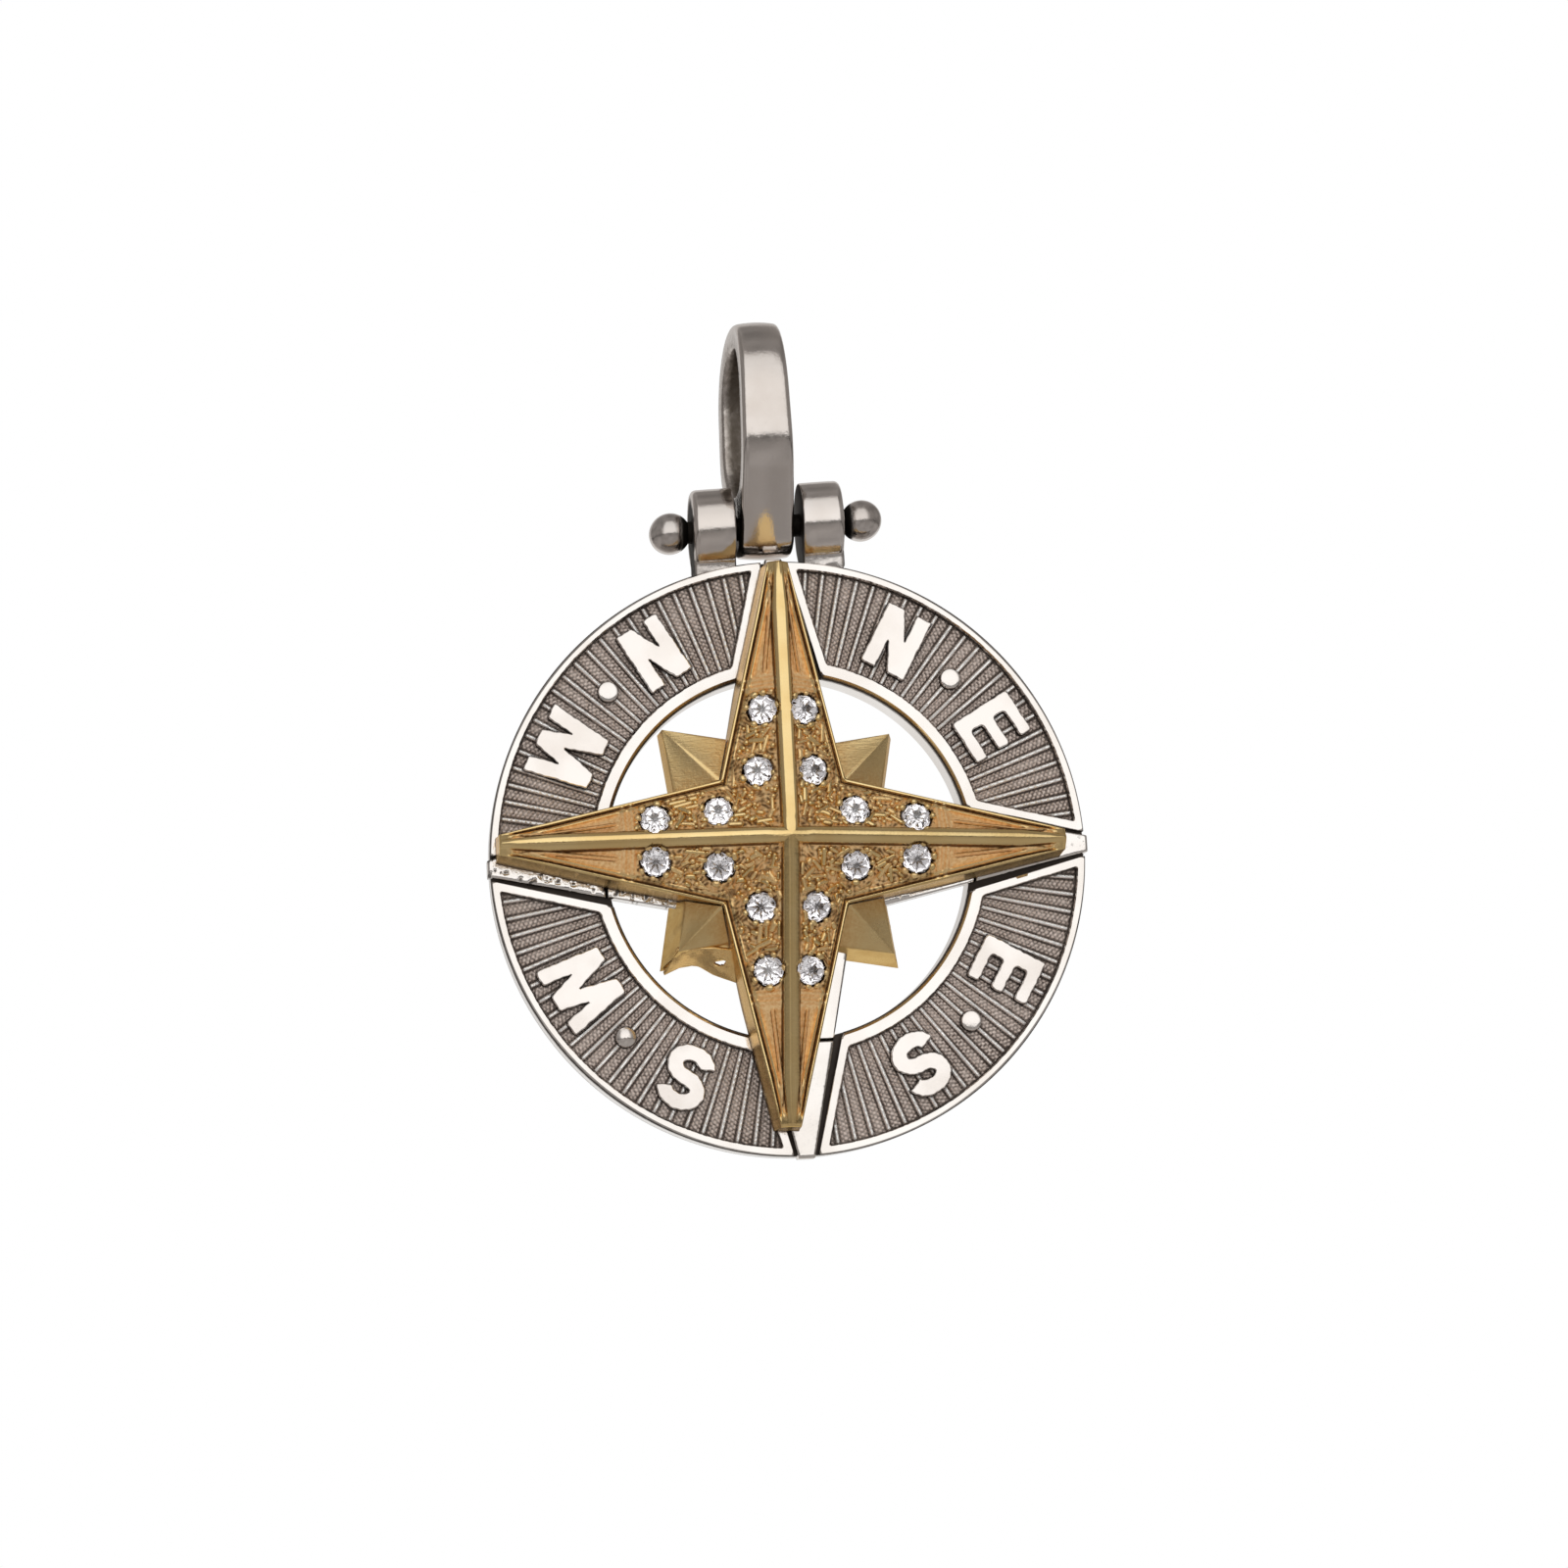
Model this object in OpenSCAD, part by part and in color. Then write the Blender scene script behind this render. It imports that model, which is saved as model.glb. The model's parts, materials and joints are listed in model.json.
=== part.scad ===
// Compass pendant: an oxidised white-metal ring with four lettered panels, a gold four-point
// star with sixteen stones in front of it, and a tapered bail on a hinge pin.
// The origin is the inner top of the bail's loop, where the chain bears.
// Seen from the front, X runs to the right and Z up, and the face looks along -Y.

/* [Ring] */
// Outer diameter of the ring
ring_d = 25; // [24:0.1:28]
// Diameter of the ring's round opening
opening_d = 15.3; // [15:0.1:16]
// Thickness of the ring, front to back
ring_t = 2; // [1.6:0.1:2.6]
// Width of the polished rim round the outside
rim_w = 0.33; // [0.25:0.01:0.5]
// Width of the polished rim round the opening, its bevel included
inner_rim_w = 0.62; // [0.45:0.01:0.8]
// Width of the bevel between the inner rim and the opening
inner_bevel = 0.16; // [0.08:0.01:0.3]
// Rounding of the ring's outer back edge
back_bevel = 0.3; // [0.1:0.05:0.5]
// Softening of the ring's outer front edge
front_bevel = 0.1; // [0.04:0.02:0.2]

/* [Panels] */
// Depth of the recessed panels and channels
panel_depth = 0.45; // [0.3:0.01:0.6]
// Width of the polished border along each side of a panel
border_w = 0.35; // [0.25:0.01:0.5]
// Width of a channel where it meets the outer rim
channel_tip_w = 1.18; // [1.1:0.02:1.5]
// How much a channel's half-width grows per millimetre towards the centre
channel_flare = 0.254; // [0.23:0.002:0.28]
// Angle between the bright radial ridges
ridge_pitch = 3.5; // [3:0.25:6]
// Width of a radial ridge
ridge_w = 0.16; // [0.1:0.01:0.22]
// Height of a radial ridge above the panel
ridge_h = 0.2; // [0.1:0.01:0.28]

/* [Letters] */
// Height of the letters
letter_h = 2.75; // [2.2:0.05:3.1]
// Width of the letter N
n_w = 2; // [1.8:0.05:2.3]
// Width of the letter E
e_w = 1.95; // [1.6:0.05:2.2]
// Width of the letter S
s_w = 2.05; // [1.8:0.05:2.3]
// Width of the letter W
w_w = 3.1; // [2.8:0.05:3.3]
// Width of the letters' strokes
stroke_w = 0.66; // [0.5:0.01:0.75]
// Width of the E's three arms
arm_w = 0.53; // [0.4:0.01:0.65]
// Width of the N's slanting stroke, measured level
slant_w = 0.76; // [0.55:0.01:0.9]
// Smallest height of the S's two hollows
hollow_h = 0.2; // [0.1:0.01:0.3]
// Angle from a point of the compass to its letter on either side
letter_angle = 30; // [27:0.5:32]
// Diameter of the dot between two letters
dot_d = 0.82; // [0.6:0.02:1.1]

/* [Cross] */
// How far the cross's ends stand out past the ring
cross_out = 0.1; // [0:0.02:0.2]
// Width of the cross at its ends
cross_tip_w = 0.68; // [0.5:0.02:0.8]
// How much an arm's half-width grows per millimetre towards the centre
cross_flare = 0.217; // [0.19:0.001:0.23]
// Thickness of the cross
cross_t = 1.05; // [0.7:0.05:1.4]
// How far the cross stands proud of the ring's front
cross_proud = 0.05; // [0:0.01:0.15]

/* [Long star] */
// Reach of the long points from the star's centre
star_reach = 11.75; // [11:0.05:12]
// Width of a long point's blunt tip
star_tip_w = 0.84; // [0.6:0.02:1.1]
// How much a long point's half-width grows per millimetre towards the centre
star_flare = 0.237; // [0.22:0.001:0.25]
// Height of the star's side walls
star_wall = 2; // [1.5:0.05:2.6]
// Rise of the peak above the side walls
star_rise = 2.75; // [2.2:0.05:3.2]
// How far the star sits to the right of the ring's centre
star_shift_x = -0.45; // [-0.6:0.05:0.6]
// How far the star sits above the ring's centre
star_shift_z = 0.35; // [-0.4:0.05:0.4]
// Turn of the star on the ring, anticlockwise from the front
star_turn = -1.8; // [-3:0.1:3]
// Gap between soldered pieces that are modelled apart
joint_gap = 0.05; // [0.03:0.01:0.08]

/* [Short points] */
// Reach of a short point from the star's centre, at its top
short_reach = 6.5; // [6.2:0.05:6.7]
// How far a short point's foot stands out past its top
short_flare = 0.45; // [0.1:0.05:0.5]
// Angle of a short point's tip
short_angle = 72; // [66:1:78]
// Height of a short point's edges above the cross
short_wall = 0.95; // [0.6:0.05:1.3]
// Rise of a short point's ridge towards the star
short_rise = 0.95; // [0.5:0.05:1.3]

/* [Stones] */
// Diameter of a stone
stone_d = 1.27; // [1.1:0.01:1.3]
// Distance of the inner stones from the star's centre, along the point
stone_along_inner = 2.82; // [2.6:0.02:3]
// Distance of the inner stones from the ridge
stone_off_inner = 1.15; // [1:0.01:1.25]
// Distance of the outer stones from the star's centre, along the point
stone_along_outer = 5.4; // [5:0.05:5.8]
// Distance of the outer stones from the ridge
stone_off_outer = 0.87; // [0.84:0.01:0.95]
// Tilt of a stone, less than the slope of the face that it sits in
stone_tilt = 21; // [15:1:28]
// Depth of a stone's girdle below the star's face
stone_sink = 0.1; // [0.05:0.01:0.14]
// Diameter of a stone's table
stone_table_d = 0.74; // [0.6:0.01:0.85]
// Height of a stone's crown
stone_crown = 0.2; // [0.12:0.01:0.28]
// Thickness of a stone's girdle
stone_girdle = 0.04; // [0.02:0.01:0.08]
// Depth of a stone's pavilion
stone_pavilion = 0.54; // [0.4:0.01:0.65]
// Gap round a stone in its seat
seat_gap = 0.02; // [0.01:0.005:0.04]

/* [Hinge] */
// Diameter of the hinge pin
pin_d = 0.96; // [0.8:0.02:1.1]
// Height of the pin's axis above the ring's outer edge
pin_rise = 1.65; // [1.55:0.05:2]
// Radial gap between the pin and the lugs that hold it
pin_gap = 0.02; // [0.01:0.005:0.04]
// Diameter of the lugs' barrels
lug_d = 3.54; // [3:0.02:3.7]
// Width of a lug along the pin
lug_w = 1.75; // [1.4:0.05:2]
// Rounding of a lug's outer end
lug_bevel = 0.25; // [0.1:0.05:0.4]
// Diameter of the balls on the pin's ends
ball_d = 1.76; // [1.4:0.02:2]

/* [Bail] */
// Width of the bail at its eye
bail_w = 2.25; // [2:0.05:2.4]
// Width of the bail at its top
bail_top_w = 1.85; // [1.5:0.05:1.95]
// Depth of the bail, front to back
bail_depth = 6.9; // [6.7:0.05:7.6]
// Height of the bail's top above the pin's axis
bail_h = 8.8; // [8.7:0.05:9.6]
// Thickness of the bail's limbs
bail_t = 1.1; // [0.9:0.05:1.2]
// Thickness of the solid neck between the pin's axis and the loop
bail_neck = 1.4; // [1.4:0.05:1.65]
// Diameter of the bail's eye
eye_d = 2.75; // [2.6:0.05:2.9]
// Gap between the bail and each lug
bail_side_gap = 0.305; // [0.2:0.005:0.4]
// Radial running gap between the bail's bore and the pin
bail_gap = 0.05; // [0.03:0.01:0.08]

/* [Hidden] */
$fn = 96;

// Cutting tools run this far past the faces they cut
past = 1;
ring_r = ring_d / 2;
opening_r = opening_d / 2;
panel_out_r = ring_r - rim_w;
panel_in_r = opening_r + inner_rim_w;
panel_mid_r = (panel_out_r + panel_in_r) / 2;
cross_r = ring_r + cross_out;
cross_back = cross_proud - cross_t;

// The chain bears at the loop's inner top, so the pin's axis lies this far below the origin
pin_z = bail_t - bail_h;
ring_z = pin_z - pin_rise - ring_r;
pin_r = pin_d / 2;
lug_in_x = bail_w / 2 + bail_side_gap;
lug_out_x = lug_in_x + lug_w;
ball_x = lug_out_x + joint_gap + ball_d / 2;

// Heights are measured forwards from the ring's front face
star_base = cross_proud + joint_gap;
star_edge = star_base + star_wall;
star_tip_half = star_tip_w / 2;
// Half-width that the star's point would have at the centre
star_root = star_tip_half + star_flare * star_reach;
star_corner = star_root / (1 + star_flare);
face_slope = star_rise / star_root;
short_edge = cross_proud + short_wall;
// Line along a long point's side, moved out by the gap, as y = line - flare * x
short_line = star_root + joint_gap * sqrt(1 + star_flare * star_flare);

// The compass stands upright: plan x stays x, plan y becomes z, and height points forwards
module upright() {
    translate([0, -ring_t / 2, ring_z]) rotate([90, 0, 0]) children();
}

// The gold star's own frame, shifted and turned on the ring
module on_star() {
    upright() translate([star_shift_x, star_shift_z, 0]) rotate(star_turn) children();
}

// Cross-shaped plan with four tapering arms and square-cut ends
module cross_plan(reach, tip_half, flare, grow = 0) {
    corner = (tip_half + grow + flare * reach) / (1 + flare);
    for (arm = [0 : 3]) rotate(90 * arm)
        polygon([[0, 0], [corner, -corner], [reach, -tip_half - grow],
            [reach, tip_half + grow], [corner, corner]]);
}

// The four channels, and with a border width added, all that the panels leave free
module channel_plan(border = 0) {
    half = channel_tip_w / 2 + border;
    root = half + channel_flare * panel_out_r;
    for (arm = [0 : 3]) rotate(90 * arm)
        polygon([[0, -root], [panel_out_r, -half], [panel_out_r, half], [0, root]]);
}

module panel_plan() {
    difference() {
        circle(r = panel_out_r);
        circle(r = panel_in_r);
        channel_plan(border_w);
    }
}

module ridge_plan() {
    count = floor(45 / ridge_pitch);
    intersection() {
        panel_plan();
        for (quadrant = [0 : 3], k = [-count : count])
            rotate(90 * quadrant + 45 + k * ridge_pitch)
                translate([panel_in_r - ridge_w, -ridge_w / 2])
                    square([panel_out_r - panel_in_r + 2 * ridge_w, ridge_w]);
    }
}

// Straight stroke that leans from x0 at the letter's foot to x1 at its head
module lean(x0, x1, w) {
    polygon([[x0, -letter_h / 2], [x0 + w, -letter_h / 2], [x1 + w, letter_h / 2],
        [x1, letter_h / 2]]);
}

module letter_n() {
    for (x = [-n_w / 2, n_w / 2 - stroke_w]) lean(x, x, stroke_w);
    lean(n_w / 2 - slant_w, -n_w / 2, slant_w);
}

module letter_e() {
    lean(-e_w / 2, -e_w / 2, stroke_w);
    for (y = [-letter_h / 2, -arm_w / 2, letter_h / 2 - arm_w])
        translate([-e_w / 2, y]) square([e_w, arm_w]);
}

module letter_w() {
    mid = w_w / 4 + stroke_w / 2;
    for (side = [0, 1]) mirror([side, 0]) {
        lean(-mid, -w_w / 2, stroke_w);
        lean(-mid, -stroke_w / 2, stroke_w);
    }
}

// One bowl of the S: part of an oval band between two angles
module bowl(from, to) {
    a = (s_w - stroke_w) / 2;
    b = (letter_h - stroke_w) / 4;
    half = stroke_w / 2;
    steps = 16;
    turn = [for (i = [0 : steps]) from + (to - from) * i / steps];
    polygon(concat([for (t = turn) [(a + half) * cos(t), (b + half) * sin(t)]],
        [for (i = [steps : -1 : 0])
            [(a - half) * cos(turn[i]), max(b - half, hollow_h / 2) * sin(turn[i])]]));
}

module letter_s() {
    bowl_y = (letter_h - stroke_w) / 4;
    translate([0, bowl_y]) bowl(15, 270);
    translate([0, -bowl_y]) bowl(-165, 90);
}

// Letter by the arm's number: 0 east, 1 north, 2 west, 3 south
module letter(arm) {
    if (arm == 0) letter_e();
    if (arm == 1) letter_n();
    if (arm == 2) letter_w();
    if (arm == 3) letter_s();
}

module letters_plan() {
    for (arm = [0 : 3], side = [-1, 1])
        rotate(90 * arm + side * letter_angle - 90) translate([0, panel_mid_r]) letter(arm);
    for (quadrant = [0 : 3])
        rotate(90 * quadrant + 45) translate([panel_mid_r, 0]) circle(d = dot_d);
}

// The ring before its panels are sunk
module ring_blank() {
    rotate_extrude($fn = 180)
        polygon([[opening_r, -ring_t], [opening_r, -inner_bevel],
            [opening_r + inner_bevel, 0], [ring_r - front_bevel, 0],
            [ring_r, -front_bevel], [ring_r, -ring_t + back_bevel],
            [ring_r - back_bevel, -ring_t]]);
}

// A barrel lug on the ring's rim, with its foot
module lug() {
    rotate([0, 90, 0]) difference() {
        translate([0, 0, lug_in_x]) rotate_extrude()
            polygon([[0, 0], [lug_d / 2, 0], [lug_d / 2, lug_w - lug_bevel],
                [lug_d / 2 - lug_bevel, lug_w], [0, lug_w]]);
        translate([0, 0, lug_in_x - past]) cylinder(r = pin_r + pin_gap, h = lug_w + 2 * past);
    }
    // The foot reaches down to the rim at the lug's outer end, and clears the bore
    drop = ring_r + pin_rise - sqrt(panel_out_r * panel_out_r - lug_out_x * lug_out_x);
    difference() {
        translate([lug_in_x, -ring_t / 2, -drop])
            cube([lug_w - lug_bevel, ring_t, drop - pin_d]);
        translate([0, 0, ring_z - pin_z]) rotate([90, 0, 0])
            cylinder(r = ring_r - rim_w / 2, h = ring_t + 2 * past, center = true, $fn = 180);
    }
}

module ring() {
    color("silver") {
        upright() {
            difference() {
                ring_blank();
                translate([0, 0, -panel_depth]) linear_extrude(panel_depth + past) {
                    panel_plan();
                    channel_plan();
                }
            }
            translate([0, 0, cross_back]) linear_extrude(cross_t)
                cross_plan(cross_r, cross_tip_w / 2, cross_flare);
            translate([0, 0, -panel_depth]) linear_extrude(ridge_h) ridge_plan();
            translate([0, 0, -panel_depth]) linear_extrude(panel_depth) letters_plan();
        }
        translate([0, 0, pin_z]) for (side = [0, 1]) mirror([side, 0, 0]) lug();
    }
}

// Turn a plan point by a number of quarter turns
function quarter(p, n) =
    n == 0 ? p : quarter([-p[1], p[0], p[2]], n - 1);

// The long star: walls up to its edges, then flat faces up to four ridges and the peak
module star_blank() {
    ridge_end = star_edge + face_slope * star_tip_half;
    low = [for (arm = [0 : 3], p = [[star_reach, -star_tip_half, star_base],
        [star_reach, star_tip_half, star_base], [star_corner, star_corner, star_base]])
        quarter(p, arm)];
    high = [for (p = low) [p[0], p[1], star_edge]];
    ends = [for (arm = [0 : 3]) quarter([star_reach, 0, ridge_end], arm)];
    count = len(low);
    peak = 2 * count + 4;
    floor_mid = peak + 1;
    faces = concat(
        [for (i = [0 : count - 1]) [floor_mid, i, (i + 1) % count]],
        [for (i = [0 : count - 1]) if (i % 3 != 0)
            [i, i + count, (i + 1) % count + count, (i + 1) % count]],
        [for (arm = [0 : 3])
            [3 * arm, 3 * arm + count, 2 * count + arm, 3 * arm + 1 + count, 3 * arm + 1]],
        [for (arm = [0 : 3])
            [peak, 2 * count + arm, 3 * arm + count, (3 * arm + count - 1) % count + count]],
        [for (arm = [0 : 3])
            [peak, 3 * arm + 2 + count, 3 * arm + 1 + count, 2 * count + arm]]);
    polyhedron(concat(low, high, ends,
        [[0, 0, star_edge + star_rise], [0, 0, star_base]]), faces, convexity = 6);
}

// Put something on the star's sloping face: number 0 and 1 are the inner stones, 2 and 3 the outer
module at_stone(arm, number) {
    side = number % 2 == 0 ? 1 : -1;
    along = number < 2 ? stone_along_inner : stone_along_outer;
    off = number < 2 ? stone_off_inner : stone_off_outer;
    face = star_edge + face_slope * (star_root - star_flare * along - off);
    rotate(90 * arm) translate([along, side * off, face - stone_sink])
        rotate([0, stone_tilt, atan2(side, star_flare)]) children();
}

module star_long() {
    color("goldenrod") on_star() difference() {
        star_blank();
        for (arm = [0 : 3], number = [0 : 3]) at_stone(arm, number)
            translate([0, 0, -stone_pavilion - seat_gap])
                cylinder(d = stone_d + 2 * seat_gap, h = stone_pavilion + past, $fn = 32);
    }
}

// Plan of a short point in the quadrant between two arms: tip, side, inner corner, side
function short_plan(reach) =
    let (t = reach / sqrt(2), d = [cos(225 + short_angle / 2), sin(225 + short_angle / 2)],
        k = (short_line - star_flare * t - t) / (d[1] + star_flare * d[0]),
        side = [t + k * d[0], t + k * d[1]], inner = short_line / (1 + star_flare))
    [[t, t], side, [inner, inner], [side[1], side[0]]];

module short_point(quadrant) {
    low = [for (p = short_plan(short_reach + short_flare)) [p[0], p[1], cross_back]];
    top = short_plan(short_reach);
    high = [for (i = [0 : 3]) [top[i][0], top[i][1], short_edge + (i == 2 ? short_rise : 0)]];
    color("goldenrod") difference() {
        on_star() rotate(90 * quadrant)
            polyhedron(concat(low, high), [[0, 3, 2, 1], [4, 5, 6], [4, 6, 7],
                [0, 1, 5, 4], [1, 2, 6, 5], [2, 3, 7, 6], [3, 0, 4, 7]]);
        // The cross runs past below, and keeps its gap
        upright() translate([0, 0, cross_back - past])
            linear_extrude(cross_t + past + joint_gap)
                cross_plan(cross_r, cross_tip_w / 2, cross_flare, joint_gap);
    }
}

// A round stone with a flat octagonal table, sixteen-sided girdle and pointed pavilion
module stone_shape() {
    sides = 16;
    girdle = [for (z = [0, stone_girdle], i = [0 : sides - 1])
        [stone_d / 2 * cos(360 / sides * i), stone_d / 2 * sin(360 / sides * i), z]];
    table = [for (i = [0 : 2 : sides - 1])
        [stone_table_d / 2 * cos(360 / sides * i), stone_table_d / 2 * sin(360 / sides * i),
            stone_girdle + stone_crown]];
    half = sides / 2;
    faces = concat(
        [[for (i = [half - 1 : -1 : 0]) 2 * sides + i]],
        [for (i = [0 : half - 1])
            [2 * sides + i, 2 * sides + (i + 1) % half, sides + 2 * i + 1]],
        [for (i = [0 : half - 1]) [2 * sides + i, sides + 2 * i + 1, sides + 2 * i]],
        [for (i = [0 : half - 1])
            [2 * sides + (i + 1) % half, sides + (2 * i + 2) % sides, sides + 2 * i + 1]],
        [for (i = [0 : sides - 1])
            [i, sides + i, sides + (i + 1) % sides, (i + 1) % sides]],
        [for (i = [0 : sides - 1]) [i, (i + 1) % sides, 2 * sides + half]]);
    polyhedron(concat(girdle, table, [[0, 0, -stone_pavilion]]), faces);
}

module stone(arm, number) {
    color("white") on_star() at_stone(arm, number) stone_shape();
}

module hinge_pin() {
    color("gainsboro") translate([0, 0, pin_z]) {
        rotate([0, 90, 0]) cylinder(r = pin_r, h = 2 * ball_x, center = true);
        for (side = [-1, 1]) translate([side * ball_x, 0, 0]) rotate([0, 90, 0])
            sphere(d = ball_d, $fn = 48);
    }
}

// Side view of a stirrup: two round ends of one radius on a straight
module slot_plan(r, low, high) {
    for (y = [low, high]) translate([0, y]) circle(r = r);
    translate([-r, low]) square([2 * r, high - low]);
}

// Side view of the bail: a stirrup that narrows to the eye round the pin
module bail_plan() {
    out_r = bail_depth / 2;
    in_r = out_r - bail_t;
    high = bail_h - out_r;
    low = bail_neck + in_r;
    eye_r = eye_d / 2;
    // The two flanks touch the lower round end and the eye
    flank = asin((out_r - eye_r) / low);
    difference() {
        union() {
            slot_plan(out_r, low, high);
            circle(r = eye_r);
            polygon([[-out_r * cos(flank), low - out_r * sin(flank)],
                [-eye_r * cos(flank), -eye_r * sin(flank)], [0, -eye_r / 2],
                [eye_r * cos(flank), -eye_r * sin(flank)],
                [out_r * cos(flank), low - out_r * sin(flank)], [0, low]]);
        }
        slot_plan(in_r, low, high);
    }
}

module bail() {
    taper = (bail_w - bail_top_w) / 2 / bail_h;
    foot = -eye_d;
    head = bail_h + past;
    color("silver") translate([0, 0, pin_z]) difference() {
        intersection() {
            rotate([90, 0, 90]) linear_extrude(bail_w + 2 * past, center = true) bail_plan();
            rotate([90, 0, 0]) linear_extrude(bail_depth + 2 * past, center = true)
                polygon([[-bail_w / 2 + taper * foot, foot], [bail_w / 2 - taper * foot, foot],
                    [bail_w / 2 - taper * head, head], [-bail_w / 2 + taper * head, head]]);
        }
        rotate([0, 90, 0])
            cylinder(r = pin_r + bail_gap, h = bail_w + 4 * past, center = true);
    }
}

ring();
star_long();
short_point(0);  // short_point_ne
short_point(1);  // short_point_nw
short_point(2);  // short_point_sw
short_point(3);  // short_point_se
hinge_pin();
bail();
stone(0, 0);  // stone_e_1
stone(0, 1);  // stone_e_2
stone(0, 2);  // stone_e_3
stone(0, 3);  // stone_e_4
stone(1, 0);  // stone_n_1
stone(1, 1);  // stone_n_2
stone(1, 2);  // stone_n_3
stone(1, 3);  // stone_n_4
stone(2, 0);  // stone_w_1
stone(2, 1);  // stone_w_2
stone(2, 2);  // stone_w_3
stone(2, 3);  // stone_w_4
stone(3, 0);  // stone_s_1
stone(3, 1);  // stone_s_2
stone(3, 2);  // stone_s_3
stone(3, 3);  // stone_s_4
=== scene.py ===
import json
import math

import bmesh
import bpy
import numpy as np
from mathutils import Matrix, Vector


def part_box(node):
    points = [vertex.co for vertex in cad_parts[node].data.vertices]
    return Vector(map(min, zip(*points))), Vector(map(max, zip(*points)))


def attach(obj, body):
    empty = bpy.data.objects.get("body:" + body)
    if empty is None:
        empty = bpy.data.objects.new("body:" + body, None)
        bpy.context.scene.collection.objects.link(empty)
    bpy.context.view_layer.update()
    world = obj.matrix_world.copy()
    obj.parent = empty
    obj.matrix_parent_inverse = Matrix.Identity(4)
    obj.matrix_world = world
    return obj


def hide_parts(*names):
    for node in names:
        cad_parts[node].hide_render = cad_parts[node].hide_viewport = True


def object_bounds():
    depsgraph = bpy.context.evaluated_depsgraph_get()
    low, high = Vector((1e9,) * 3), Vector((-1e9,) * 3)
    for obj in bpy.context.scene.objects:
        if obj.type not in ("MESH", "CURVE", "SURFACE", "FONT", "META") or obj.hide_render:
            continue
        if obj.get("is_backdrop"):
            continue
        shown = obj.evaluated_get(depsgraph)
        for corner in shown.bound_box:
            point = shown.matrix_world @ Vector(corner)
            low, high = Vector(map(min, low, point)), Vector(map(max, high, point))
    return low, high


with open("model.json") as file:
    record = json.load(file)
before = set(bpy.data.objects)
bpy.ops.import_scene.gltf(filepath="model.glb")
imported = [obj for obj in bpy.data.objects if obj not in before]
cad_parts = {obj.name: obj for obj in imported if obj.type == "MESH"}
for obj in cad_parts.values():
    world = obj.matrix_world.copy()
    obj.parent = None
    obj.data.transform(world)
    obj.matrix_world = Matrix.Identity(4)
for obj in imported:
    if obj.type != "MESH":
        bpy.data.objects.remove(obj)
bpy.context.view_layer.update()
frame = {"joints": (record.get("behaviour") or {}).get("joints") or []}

# Camera, light and floor
# The pendant hangs free in front of a white sweep, above a pale floor. The camera stands a
# little below it and to its left, tipped slightly, with a long lens. One tall soft light in
# front gives the flat metal its white, and the dim room round it gives the curves their greys.
mm = 0.001
ring_t = 2.0
pin_z = frame["joints"][0]["pos_m"][2] / mm
cross_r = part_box("ring")[1].x / mm
ring_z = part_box("ring")[0].z / mm + cross_r

camera_turn, camera_rise, camera_tip = math.radians(-6.8), math.radians(-7.6), math.radians(3.25)
camera_far = 181.6
ring_right, ring_down = 0.25, 3.0


def added(name, data):
    """An object with this data, put into the scene."""
    made = bpy.data.objects.new(name, data)
    bpy.context.scene.collection.objects.link(made)
    return made


camera = added("camera", bpy.data.cameras.new("camera"))
bpy.context.scene.camera = camera
camera.data.lens = 100
camera.data.sensor_width = 36
camera.data.clip_start, camera.data.clip_end = 0.01, 20
behind = Vector((math.sin(camera_turn) * math.cos(camera_rise),
                 -math.cos(camera_turn) * math.cos(camera_rise), math.sin(camera_rise)))
level = Vector((math.cos(camera_turn), math.sin(camera_turn), 0))
upward = behind.cross(level)
sideways = level * math.cos(camera_tip) - upward * math.sin(camera_tip)
upward = upward * math.cos(camera_tip) + level * math.sin(camera_tip)
stand = Vector((0, -ring_t / 2, ring_z)) - sideways * ring_right + upward * ring_down
camera.matrix_world = (Matrix.Translation((stand + behind * camera_far) * mm)
                       @ Matrix((sideways, upward, behind)).transposed().to_4x4())
bpy.context.scene.view_settings.view_transform = "Standard"
bpy.context.scene.view_settings.look = "None"


def shader(tree, kind, inputs=None, **settings):
    """One shader node: its settings by name, its inputs as plain values or other nodes' outputs."""
    made = tree.nodes.new(kind)
    for name, value in settings.items():
        setattr(made, name, value)
    for key, value in (inputs or {}).items():
        if isinstance(value, bpy.types.NodeSocket):
            tree.links.new(value, made.inputs[key])
        else:
            made.inputs[key].default_value = value
    return made


def sums(tree, operation, *values):
    """The result of one Math node."""
    return shader(tree, "ShaderNodeMath", dict(enumerate(values)), operation=operation).outputs[0]


def ramp(tree, value, low, high, start=0.0, end=1.0, smooth=True):
    """The value carried from low..high to start..end, held at both ends."""
    return shader(tree, "ShaderNodeMapRange", {0: value, 1: low, 2: high, 3: start, 4: end},
                  interpolation_type="SMOOTHSTEP" if smooth else "LINEAR").outputs[0]


def blend(tree, share, first, second):
    """Two colours mixed by a share of the second."""
    return shader(tree, "ShaderNodeMix", {0: share, 6: first, 7: second},
                  data_type="RGBA").outputs[2]


def clouds(tree, place, scale, detail=3.0, harsh=0.5):
    """A cloudy noise between 0 and 1."""
    return shader(tree, "ShaderNodeTexNoise", {"Vector": place, "Scale": scale, "Detail": detail,
                                               "Roughness": harsh}).outputs[0]


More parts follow.
